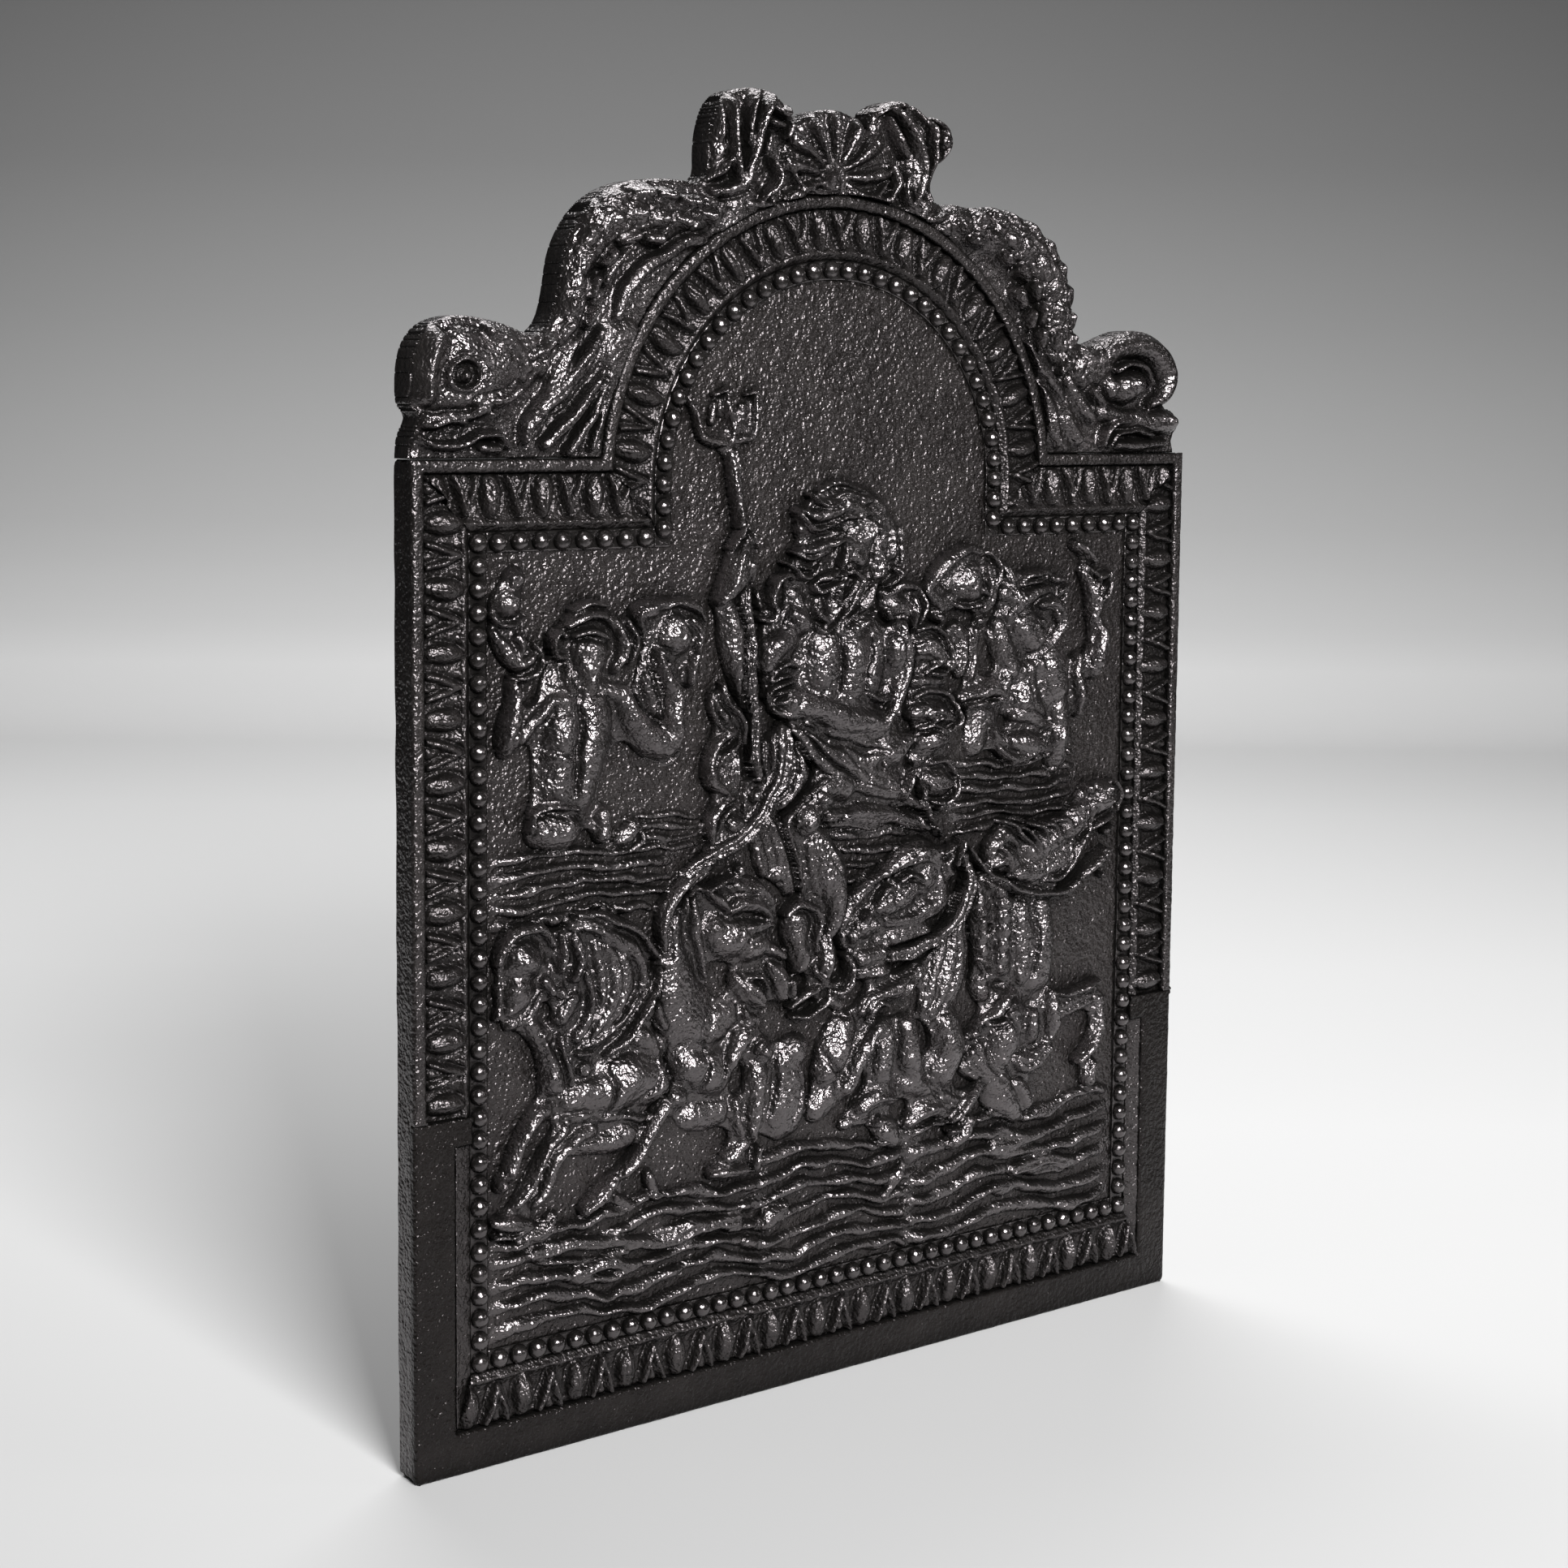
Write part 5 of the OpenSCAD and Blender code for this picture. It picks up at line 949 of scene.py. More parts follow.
# The plain margin: inside the plate's edge and outside the leaf border's window, which is narrower below the
# bevels' top. Its edges are rounded, except at the top, where the rim bar goes on
def plainMargin():
    look = marginLook
    x, z = gridOf(*look["span"], look["step"])
    outer = np.minimum(np.minimum(plate["halfWidth"] - np.abs(x), z), plate["marginTop"] - z)
    outer = roundedCorners(x, z, outer)
    overFoot = z - plate["marginFoot"]
    window = np.minimum(np.minimum(plate["marginInner"] - np.abs(x), overFoot), plate["bevelTop"] - z)
    window = np.maximum(window, np.minimum(plate["sideInner"] - np.abs(x), overFoot))
    distance = np.minimum(outer, -window)
    px, pz, keep = cutByDistance(x, z, distance, look["step"])
    drop = roundedDrop(np.where(z > look["flatFrom"], look["round"], distance), look["round"])
    high = look["height"] - drop + castRough(x.shape, look["step"], *look["rough"])
    return shellArrays(px, plate["ground"] - high, pz, keep, plate["ground"])


rimLook = {"span": (-240.2, 240.2, 167.6, 595.4), "step": 0.8, "round": 2.2, "flatTo": 170,
           "rough": (0.09, 23)}


# The rim bar: between the plate's outline and the same line moved in, above the margins, edges rounded
def rimBar():
    look = rimLook
    x, z = gridOf(*look["span"], look["step"])
    band = np.minimum(archedDistance(x, z, 0), -archedDistance(x, z, plate["rim"]))
    px, pz, keep = cutByDistance(x, z, np.minimum(band, z - plate["marginTop"]), look["step"])
    drop = roundedDrop(np.where(z < look["flatTo"], look["round"], band), look["round"])
    high = plate["rimHeight"] - drop + castRough(x.shape, look["step"], *look["rough"])
    return shellArrays(px, plate["ground"] - high, pz, keep, plate["ground"])


# Borders are drawn along the plate (s) and in from its edge (t), then laid on it by one of these places
def sideOf(side, edge):
    return lambda s, t: (side * (edge - t), s)


def shoulderOf(side, edge):
    return lambda s, t: (-side * s, edge - t)


def footOf(edge):
    return lambda s, t: (s, edge + t)


# s runs up the left leg, round the half circle and down the right leg
def archOf(radius):
    long = math.pi * radius

    def place(s, t):
        angle = np.clip(s / radius, 0, np.pi)
        leg = np.where(s < 0, s, np.where(s > long, long - s, 0))
        return -(radius - t) * np.cos(angle), plate["archCentre"] + (radius - t) * np.sin(angle) + leg

    return place


# Leaf mouldings, in mm; crestAt is a share of the width, and lipFrom one of the crest's place
leafLook = {"step": 0.8, "pitch": 14.6, "reach": 19, "steps": 6, "moatWidth": 0.9, "moatDepth": 1.6,
            "blend": 0.5, "melt": 0.8, "sunk": -1.0, "edge": 0.7, "rise": 0.6, "lip": 2.7,
            "crestAt": 0.86, "lipFrom": 0.75, "crest": 4.0, "toe": 0.8, "slopePower": 0.8,
            "warp": (0.35, 7), "soften": 0.5, "rough": 0.11, "lowest": 0.3, "highest": 7.4}


# Cross section: a cove at the rim, up to a crest past the leaves, then a slope down to the beads
def mouldingHeight(t, width):
    look = leafLook
    crestAt = look["crestAt"] * width
    lip = np.clip((t - crestAt * look["lipFrom"]) / (crestAt * (1 - look["lipFrom"])), 0, 1)**2
    cove = look["edge"] + look["rise"] * (t / crestAt) + look["lip"] * lip
    down = np.maximum((t - crestAt) / (width - crestAt), 0)**look["slopePower"]
    slope = look["crest"] + (look["toe"] - look["crest"]) * down
    return np.where(t < crestAt, cove, slope)


# A round bulb with a rib, then a V of two veins
def leafStrokes(s, index, lean, reach):
    if index % 2 == 0:
        return [limb(s, 4, 4.6, 4.8, s, 10, 6, 7, s, 15.5, 4.6, 6.4, s, reach, 2, 5),
                limb(s - 0.6, 3, 0.9, 6.2, s, 10, 1.2, 7.8, s, reach - 1, 0.9, 5.8)]
    veins = [limb(s + side * lean * 5.6, 1.4, 1.8, 5, s + side * lean * 3, 9, 2.2, 6.6, s, reach - 1, 2, 5.6)
             for side in (-1, 1)]
    return [limb(s, 4, 4.2, 3.4, s, 11, 3, 4, s, 16, 2, 4), *veins]


# A moulding: its cross section with leaves laid on it at an even pitch, cut to its mitred corners
def moulding(corners, width, place, lean, seed):
    look = leafLook
    step = look["step"]
    corners = np.array(corners, float)
    low, high = corners[:, 0].min(), corners[:, 0].max()
    along = np.arange(low - step, high + step * 1.5, step)
    s, t = np.meshgrid(along, np.arange(-step / 2, width + step, step))
    field = mouldingHeight(t, width)
    owner = np.ones(field.shape, int)
    amount, size = look["warp"]
    warp = warpFields(field.shape, amount, size / step, (seed + 5, seed + 6))
    count = int(round((high - low) / look["pitch"]))
    for index in range(count):
        spot = low + (index + 0.5) * (high - low) / count
        for stroke in leafStrokes(spot, index, lean, look["reach"]):
            layStroke(field, owner, (s[0, 0], t[0, 0], step), stroke, 2 + index % 2, look, warp)
    field = softened(field, look["soften"] / step) + castRough(field.shape, step, look["rough"], seed)
    ps, pt, keep = trimmed(s, t, corners, step)
    x, z = place(ps, pt)
    field = np.clip(field, look["lowest"], look["highest"])
    return shellArrays(x, plate["ground"] - field, z, keep, plate["ground"] + plate["bandUnder"])


# By moulding: corners as (s, t), width, place, lean of the leaves, seed
rimInner = plate["archRadius"] - plate["rim"]
archLong = math.pi * rimInner
sideEdge = plate["halfWidth"] - plate["rim"]
shoulderEdge = plate["shoulder"] - plate["rim"]
sideFoot = plate["marginTop"]
sideCorners = [(sideFoot, 0), (shoulderEdge, 0), (plate["shoulderInner"], 24), (sideFoot, 24)]
shoulderCorners = [(-sideEdge, 0), (-rimInner, 0), (-plate["archInner"], 26.5), (-plate["sideInner"], 26.5)]
footCorners = [(-218.5, 0), (218.5, 0), (209.5, 25.5), (-209.5, 25.5)]
archCorners = [(6.5, 0), (archLong - 6.5, 0), (archLong + 20, 25), (-20, 25)]
mouldings = {
    "leaf_moulding_left": (sideCorners, 24, sideOf(-1, sideEdge), 1, 31),
    "leaf_moulding_right": (sideCorners, 24, sideOf(1, sideEdge), 1, 34),
    "leaf_moulding_shoulder_left": (shoulderCorners, 26.5, shoulderOf(-1, shoulderEdge), -1, 37),
    "leaf_moulding_shoulder_right": (shoulderCorners, 26.5, shoulderOf(1, shoulderEdge), -1, 40),
    "leaf_moulding_foot": (footCorners, 25.5, footOf(plate["marginFoot"]), -1, 43),
    "leaf_moulding_arch": (archCorners, 25, archOf(rimInner), 1, 46),
}


bevelLook = {"width": 9, "step": 0.8, "high": 3.2, "low": 0.8, "power": 0.7, "rough": 0.12,
             "lowest": 0.3, "highest": 4}


# The plain slope between the side margins and the beads: from high to low, steeper at its start
def channelBevel(side, seed):
    look = bevelLook
    step, width = look["step"], look["width"]
    foot, top = plate["marginFoot"], plate["bevelTop"]
    s, t = np.meshgrid(np.arange(foot - 1, top + 1, step), np.arange(-step / 2, width + 0.6, step))
    ps, pt, keep = trimmed(s, t, [(foot, 0), (top, 0), (top, width), (plate["footInner"], width)], step)
    high = look["high"] + (look["low"] - look["high"]) * np.clip(pt / width, 0, 1)**look["power"]
    high = np.clip(high + castRough(s.shape, step, look["rough"], seed), look["lowest"], look["highest"])
    x, z = sideOf(side, plate["marginInner"])(ps, pt)
    return shellArrays(x, plate["ground"] - high, z, keep, plate["ground"] + plate["bandUnder"])


# Beads stand on the floor of a channel (the lane), whose middle line is at x, z, r and foot. Lengths in mm
beadLook = {"radius": 4.8, "lift": 0.8, "x": 204.75, "z": 430.25, "r": 103.75, "foot": 50.25, "pitch": 10.3,
            "around": 12, "rings": 5, "smallest": 0.965, "wobble": 0.02, "tip": 0.3, "wander": 0.15,
            "flattest": 0.94, "lane": 9.5, "laneStep": 1.1875, "floor": 0.6, "rough": 0.07, "lowest": 0.2,
            "highest": 1, "under": 1, "legDown": 29.5}


# A bead: rings of a sphere from the channel's floor to its top, closed by a flat cap and underside
def beadArrays(x, z, random):
    look = beadLook
    around, rings = look["around"], look["rings"]
    start = math.asin(-look["lift"] / look["radius"])
    rise = np.linspace(start, math.pi / 2, rings + 1)[:, None]
    turn = np.linspace(0, 2 * np.pi, around, endpoint=False)[None]
    radius = look["radius"] * random.uniform(look["smallest"], 1.0)
    wobble = 1 + random.uniform(-look["wobble"], look["wobble"], (1, around))
    out = radius * np.cos(rise) * wobble
    out[-1] = look["tip"]
    px = x + random.uniform(-look["wander"], look["wander"]) + out * np.cos(turn)
    pz = z + random.uniform(-look["wander"], look["wander"]) + out * np.sin(turn)
    high = np.maximum(look["lift"] + radius * np.sin(rise) * random.uniform(look["flattest"], 1.0), 0)
    points = np.stack([px, np.broadcast_to(plate["ground"] - high, px.shape), pz], -1).reshape(-1, 3)
    a = np.arange(rings * around).reshape(rings, around)
    b = np.roll(a, -1, 1)
    walls = np.stack([a, b, b + around, a + around], -1).reshape(-1, 4)
    half = around // 2
    caps = []
    for first, flip in ((0, True), (rings * around, False)):
        ring = first + np.arange(around)
        for k in range(half - 1):
            quad = [ring[k], ring[k + 1], ring[around - 2 - k], ring[around - 1 - k]]
            caps.append(quad[::-1] if flip else quad)
    faces = np.vstack([walls, caps])
    number = np.arange(len(faces))
    return points, faces, (number >= len(walls)) & (number < len(walls) + half - 1)


# The rough floor of a channel from s = start to s = end
def laneArrays(start, end, place, seed):
    look = beadLook
    step = look["laneStep"]
    s, t = np.meshgrid(np.arange(start, end + step, step), np.arange(0, look["lane"] + 0.01, step))
    high = look["floor"] + castRough(s.shape, step, look["rough"], seed)
    high = np.clip(high, look["lowest"], look["highest"])
    x, z = place(np.minimum(s, end), t)
    keep = np.ones((s.shape[0] - 1, s.shape[1] - 1), bool)
    return shellArrays(x, plate["ground"] - high, z, keep, plate["ground"] + look["under"])


# Evenly spaced spots on a straight line, at most a pitch more than needed apart
def beadLine(start, end):
    start, end = np.array(start, float), np.array(end, float)
    count = int(np.hypot(*(end - start)) / beadLook["pitch"])
    return [start + (end - start) * i / count for i in range(count + 1)]


# By row: the beads' spots, then start, end and place of the channel
def beadRows():
    look = beadLook
    pitch, radius, foot, centre = look["pitch"], look["r"], look["foot"], plate["archCentre"]
    rows = {}
    for side, word in sides:
        spots = beadLine((side * look["x"], foot), (side * look["x"], look["z"]))
        place = sideOf(side, plate["sideInner"])
        rows["bead_row_" + word] = (spots, plate["footInner"], plate["shoulderInner"], place)
        spots = beadLine((side * (look["x"] - pitch), look["z"]), (side * (radius + pitch), look["z"]))
        place = shoulderOf(side, plate["shoulderInner"])
        rows["bead_row_shoulder_" + word] = (spots, -plate["fieldHalf"], -plate["archInner"], place)
    spots = beadLine((pitch - look["x"], foot), (look["x"] - pitch, foot))
    rows["bead_row_foot"] = (spots, -plate["fieldHalf"], plate["fieldHalf"], footOf(plate["footInner"]))
    count = int(math.pi * radius / pitch)
    turns = [math.pi * i / count for i in range(count + 1)]
    spots = [(radius * math.cos(turn), centre + radius * math.sin(turn)) for turn in turns]
    spots += [(side * radius, centre - i * pitch) for side in (-1, 1) for i in (1, 2)]
    down, long = look["legDown"], math.pi * plate["archInner"]
    rows["bead_row_arch"] = (spots, -down, long + down, archOf(plate["archInner"]))
    return rows


# All pieces of the frame; the beads of all rows share one run of random draws
def buildFrame():
    dress("plain_margin_cast", plainMargin(), "plain_margin", finishes["margin"])
    dress("rim_bar_cast", rimBar(), "rim_bar", finishes["frame"])
    for name, settings in mouldings.items():
        dress(name + "_carved", moulding(*settings), name, finishes["frame"])
    for side, word in sides:
        node = "channel_bevel_" + word
        dress(node + "_cast", channelBevel(side, 50 + side), node, finishes["frame"])
    random = np.random.default_rng(60)
    for name, (spots, start, end, place) in beadRows().items():
        parts = [laneArrays(start, end, place, 61)] + [beadArrays(*spot, random) for spot in spots]
        dress(name + "_cast", joinArrays(parts), name, finishes["beads"])
    print("frame built")


buildFrame()


# The crest: dolphins, tail fins and shell. Outlines as points [x, z] in mm, from the origins below
crestOutlines = {
    "dolphin_left": [
        [1, -12], [1, 8], [5, 18], [1, 25], [1, 40], [4, 51], [11, 59], [22, 63], [35, 63], [50, 60],
        [64, 56], [72, 62], [76, 74], [79, 91], [84, 103], [92, 114], [103, 122], [116, 127], [132, 129],
        [148, 129], [161, 124], [184, 97], [145, 67], [120, 22], [118, -12], [8, -12]],
    "dolphin_right": [
        [1, -12], [6, 6], [1, 15], [5, 22], [13, 26], [4, 40], [8, 51], [17, 60], [30, 65], [43, 65],
        [56, 61], [68, 57], [77, 58], [83, 64], [83, 74], [86, 86], [92, 100], [100, 111], [112, 119],
        [126, 124], [140, 126], [155, 125], [172, 124], [184, 97], [145, 67], [120, 22], [118, -12],
        [8, -12]],
    "tail_fin_left": [
        [-87, -5], [-80, 6], [-79.5, 16], [-78.5, 26], [-75, 37], [-69, 44], [-60, 47], [-48, 48], [-39, 45],
        [-33, 41], [-26, 30], [-26, 0], [-40, -18], [-74, -34]],
    "tail_fin_right": [
        [18, 36], [22, 43], [30, 47], [39, 48], [47, 45], [53, 41], [60, 42], [67, 37], [70, 29], [67, 22],
        [60, 16], [56, 9], [58, 2], [68, -5], [60, -26], [20, -14], [14, 0]],
}

# By outline: mirror in x and z, and the place of its origin (a shoulder's corner, or the top of the arch)
crestOrigins = {"dolphin_left": ((1, 1), (-240, 468)), "dolphin_right": ((-1, 1), (240, 468)),
                "tail_fin_left": ((1, 1), (0, 595)), "tail_fin_right": ((1, 1), (0, 595))}


# Scales, all of one length, width and height, by x, z and the way they point in degrees
def scales(long, wide, high, *row):
    strokes = []
    for x, z, turn in np.reshape(row, (-1, 3)):
        c, s = math.cos(math.radians(turn)), math.sin(math.radians(turn))
        strokes.append(limb(x - long * c, z - long * s, wide * 0.8, high - 2,
                            x + long * 0.5 * c, z + long * 0.5 * s, wide, high + 0.8))
    return strokes


# An eye: a ball in a ring of lid, in a hollow
def eye(x, z, wide, tall, high):
    ring = [value for turn in np.linspace(0, 2 * math.pi, 11)
            for value in (x + wide * math.cos(turn), z + tall * math.sin(turn), 1.7, high)]
    return [groove(x, z, wide + 2, 2), limb(*ring), limb(x, z, wide * 0.56, high + 0.4)]


# The shell: middle and radius, its ribs' angles in degrees, and a rib by way out, half width and height
shell = {"x": -5, "z": 603, "radius": 33, "disc": (32, 3), "ribs": 9, "firstRib": -22, "fan": 224,
         "rib": ((9, 1.6, 4.4), (19, 3.2, 6.4), (27, 4.4, 7), (31, 4.2, 5.5))}


# A disc, its fan of ribs, the hinge and the two scrolls below them
def shellStrokes():
    x, z = shell["x"], shell["z"]
    strokes = [limb(x, z, *shell["disc"])]
    for i in range(shell["ribs"]):
        turn = math.radians(shell["firstRib"] + shell["fan"] * i / (shell["ribs"] - 1))
        c, s = math.cos(turn), math.sin(turn)
        strokes.append(limb(*[value for r, w, h in shell["rib"] for value in (x + r * c, z + r * s, w, h)]))
    return strokes + [
        limb(-9,600,8,8), limb(-11,602,4,9.4), swell(-7,598,3,0.8),
        limb(-37.5,622,1.4,5, -37,612,1.6,6, -33,604,1.6,6, -27,597.5,1.6,6, -18,594,1.6,6, -10,593,1.4,6),
        limb(4,597,1.6,6, 12,593.5,1.8,6.5, 21,596,1.8,6, 26,602,1.4,5)]


crestStrokes = {
    "dolphin_left": [
        limb(-172,514,12,5, -161,534,13,8, -157,555,13,9, -144,573,14,9, -120,580,14,8, -94,580,11,6,
             -72,588,8,5),
        limb(-150,500,20,3, -130,520,14,4), limb(-186,508,12,6, -178,520,8,5), limb(-196,512,18,7),
        limb(-214,506,22,9, -202,503,18,8), limb(-230,519,8,9.5, -234,508,8,10, -232,497,6,9),
        limb(-200,524,5,8, -188,518,4,7.5, -180,508,3,6.5),
        *eye(-215.7, 504.9, 8.2, 7.2, 10.8), limb(-208,492,3,8, -196,494,3.4,8.5, -186,499,3,8),
        lock(2, -239,489,2.4,7, -227,486,3,8, -214,487,3,8.4, -202,490,2.6,7),
        limb(-236,484.5,1.6,7.5, -224,484,2,8.4, -214,484,1.5,7.5),
        limb(-238,479,2.6,7, -231,475,2.4,8, -222,473,2.4,8, -212,475,2.4,8, -205,479,2.4,8,
             -196,479,2.4,7.6, -191.5,473,2.2,7),
        limb(-204,473,3.4,5.5, -196,472,3,5),
        *scales(4.2, 4.4, 9.4, -170,520,60, -161,526,70, -160,537,85, -162,549,95, -163,561,100,
                -157,572,60, -146,581,40, -134,587,20, -120,590,5, -106,589,-5, -92,587,-10),
        *scales(3.8, 4.3, 10, -149,533,70, -147,546,70, -150,558,80, -150,569,70, -138,574,40, -124,579,15,
                -110,578,0, -97,577,-10, -138,560,60, -127,568,25, -114,569,10, -84,581,-20),
        lock(2, -132,532,3,6, -128,546,4,8, -116,557,4.2,8, -100,565,4,7.6, -84,571,3,6),
        limb(-140,548,3,7, -134,558,3,7.5, -126,564,2.4,7),
        lock(2, -178,514,2,6, -170,520,2.4,7), lock(3, -156,520,4,7, -163,508,6,8.4, -170,496,4,8),
        lock(2, -141,526,3,7, -149,514,4.6,9.6, -160,503,5,9.8, -172,492,4.8,9.6, -180,484,4.4,9,
             -181,475,3,7), limb(-178,485,3,9.8),
        lock(2, -141,507,3,7, -150,496,4,9, -161,485,4,9, -172,474,3,7.6),
        lock(2, -140,502,2.4,7, -146,490,3.4,8.4, -153,479,3.4,8, -160,470,2.4,7),
        lock(2, -139.5,496,2,6, -143,484,2.6,7, -146,472,2,6),
    ],
    "dolphin_right": [
        limb(70,586,8,5, 92,582,12,7.5, 116,576,15,9, 136,560,16,10, 144,540,14,9, 146,524,11,8,
             158,512,10,7),
        limb(140,500,14,4, 150,484,16,4), limb(165,512,12,6, 178,516,10,7),
        lock(3, 168,520,7,7, 184,524,8,8, 198,529,6,8),
        limb(184,522,7,7, 200,526,8,9, 216,521,9,10, 224,509,8.5,10, 220,498,7,9.4, 212,494,4,8),
        limb(184,503,8,7), limb(193,503,9,9, 199,505,8,11.4), swell(197,506,3,0.8),
        limb(186,512,2,8, 195,516,2.2,9, 205,513,2.2,9, 210,505,2,9),
        limb(178,490,6,6, 196,486,7,8, 214,484.5,7,9, 225,484,6.6,10), swell(226,485,3.4,1.4),
        limb(176,472,1.6,7, 179,480,1.8,9, 186,485,1.8,9.6, 196,486.5,1.5,9),
        limb(182,472,1.4,7, 187,478.5,1.6,8.6, 198,480,1.6,9, 212,478,1.4,8.4),
        limb(190,472.5,3,6.5, 206,472.5,3.4,7, 222,474,2.6,6),
        *scales(4.2, 4.3, 9, 76,583,160, 88,588,150, 101,590,150, 113,588,140, 125,583,130, 136,574,120,
                145,563,100, 151,551,90, 153,538,85, 152,526,80, 158,514,60),
        *scales(3.8, 4.2, 9.6, 84,576,160, 96,578,155, 108,577,150, 119,572,135, 129,563,120, 137,552,105,
                141,540,95, 141,528,85, 146,515,70, 106,567,150, 117,560,130, 126,551,110, 130,540,100,
                130,528,90, 116,549,120, 122,538,100),
        lock(2, 122,524,3,6, 128,516,4,7.4, 137,508,4,7.6, 146,498,3,6.6),
        lock(3, 134,500,4,6, 140,488,5,7, 146,474,4,6.4),
        lock(3, 150,508,4,6.6, 158,496,5,7.4, 168,486,4,7), lock(3, 152,486,5,6.4, 160,476,4,6.4),
        limb(170,500,4,6.6, 176,494,3,6.6),
    ],
    "tail_fin_left": [
        limb(-66,580,12,4, -60,590,12,5), limb(-76,604,7,5, -77,620,6,5),
        limb(-80,600,3,6, -74,604,3,8, -70,609,2.4,8),
        limb(-73,637,2.6,7, -75,628,3,8.4, -76,618,2.6,7),
        limb(-70,612,1.8,7, -71,624,1.8,7, -69,634,1.8,7),
        limb(-64,601,3.6,9, -68,610,4,9.6, -69,622,3.8,10, -67.5,634,3,9.4),
        limb(-80,592,3,7, -70,593.5,4,9, -61,599,4.2,10, -57.6,610,4.2,10.6, -55.5,622,4.2,11, -51,632,4,11,
             -44.5,639,3,9),
        limb(-60,616,1.4,9, -60,626,1.6,10, -57,636,1.6,9.6, -52,641,1.6,8),
        limb(-50,591,2.6,8, -44.6,596,3.2,10, -43,603,3,10, -45.6,609,2.4,9),
        limb(-48,614,2.4,7, -46,622,2.4,7),
        limb(-47,628,2,9, -40,626,2.2,9), limb(-44,634,2.6,8, -37,631,2.6,9, -33,634,2,8),
        limb(-34,626,2.6,8, -36,621,2.4,8),
        limb(-58,588,2,6, -44,588,2,6),
    ],
    "tail_fin_right": [
        limb(50,590,12,5), limb(44,604,9,6, 44,624,9,7), limb(64,624,6.5,8), swell(62,622,3,0.8),
        limb(38,607,2,8, 36.5,600,2.4,8, 40,593,2.4,7.6, 47,590,2,7),
        limb(27,633,2.6,8, 32,624,3.2,9.4, 37,616,2.4,8), limb(22,636,2.4,7, 30,640,2.8,9, 38,641,2.6,9),
        limb(33,637,3.4,9, 40,628,4.4,10.4, 45.5,615,4.4,10.4, 47,603,4,9.4, 45,594,3,8),
        limb(46,640,2.6,9, 53,632,3.2,10, 55,620,3.2,9.6, 53.5,606,2.8,8.6, 56,596,2.2,7),
        limb(58,634,2,8, 66,630,2.2,9, 68.5,623,2.2,9, 64,616,2,8),
        lock(2, 29,610,3.4,8, 31,601,4,9, 28,592,3,8),
        limb(56,586,2.4,6, 66,588,2.4,6),
    ],
    "scallop_shell": shellStrokes(),
}

# Lengths and heights in mm; height falls towards the crest's outline, from full at rimWidth inside it to a
# share of rimShare
crestLook = {"span": (-240.4, 240.4, 467.2, 644), "step": 0.8, "steps": 6, "moatWidth": 1.2,
             "moatDepth": 2.2, "blend": 0.5, "melt": 2.2, "sunk": -0.6, "round": 3.4,
             "warp": (0.6, 9, (71, 72)), "spill": 0.5, "soften": 0.45, "mostCarved": 11.6, "rimShare": 0.35,
             "rimWidth": 9, "rough": (0.13, 73), "highest": 11.9, "outlineSteps": 3}


# A closed outline as a spline through its points
def smoothOutline(points, steps):
    p = np.array(points, float)
    return splineBlend(*(np.roll(p, 1 - k, 0)[:, None] for k in range(4)), steps).reshape(-1, 2)


# One height field for the whole crest, above the board's shoulders and arch, cut into the pieces' areas
def carveCrest():
    look = crestLook
    step = look["step"]
    x, z = gridOf(*look["span"], step)
    inside = {}
    for name, points in crestOutlines.items():
        mirror, origin = crestOrigins[name]
        line = smoothOutline(points, look["outlineSteps"]) * mirror + origin
        inside[name] = outlineDistance(x, z, line)[0]
    inside["scallop_shell"] = shell["radius"] - np.hypot(x - shell["x"], z - shell["z"])
    whole = np.minimum(np.maximum.reduce(list(inside.values())), plate["halfWidth"] - np.abs(x))
    aboveArch = np.hypot(x, z - plate["archCentre"]) - plate["archRadius"]
    aboveBoard = np.minimum(z - plate["shoulder"], aboveArch)
    field = np.zeros(x.shape)
    owner = np.zeros(x.shape, int)
    amount, size, seeds = look["warp"]
    warp = warpFields(field.shape, amount, size / step, seeds)
    for number, (name, strokes) in enumerate(crestStrokes.items(), 1):
        before = field.copy()
        for stroke in strokes:
            layStroke(field, owner, (x[0, 0], z[0, 0], step), stroke, number, look, warp)
        field = np.where(inside[name] > -look["spill"], field, before)
    field = softened(field, look["soften"] / step)
    share = np.clip(look["rimShare"] + whole / look["rimWidth"], look["rimShare"], 1)
    field = np.clip(field, 0, look["mostCarved"]) * share
    amount, seed = look["rough"]
    field = field + castRough(field.shape, step, amount, seed)
    field = np.minimum(field, look["highest"]) - roundedDrop(whole, look["round"])
    px, pz, keep = cutByDistance(x, z, np.minimum(whole, aboveBoard), step)
    order = ["scallop_shell", "dolphin_left", "dolphin_right", "tail_fin_left", "tail_fin_right"]
    area = np.select([inside[name] > 0 for name in order], range(1, 6), 0)
    cell = np.maximum(area[:-1, :-1], 1)  # what lies between the outlines goes with the shell
    for number, name in enumerate(order, 1):
        arrays = shellArrays(px, plate["crestGround"] - field, pz, keep & (cell == number), plate["back"])
        dress(name + "_carved", arrays, name, finishes["crest"])
    print("crest carved, highest", field.max())


carveCrest()


# Sizes in mm; wear is how far the edge is worn in, hollow and fine are (height, size, seed) of the ground
boardLook = {"span": (-240.4, 241, -0.4, 596), "step": 2.5, "wear": (0.45, 14, 91), "lift": 0.02,
             "fieldSpan": (-200.5, 200.5, 54.5, 555), "fieldStep": 1.6, "fieldInset": 41, "overlap": 0.6,
             "hollow": (0.14, 18, 92), "fine": (0.10, 3.2, 93), "over": 0.25, "under": 1}


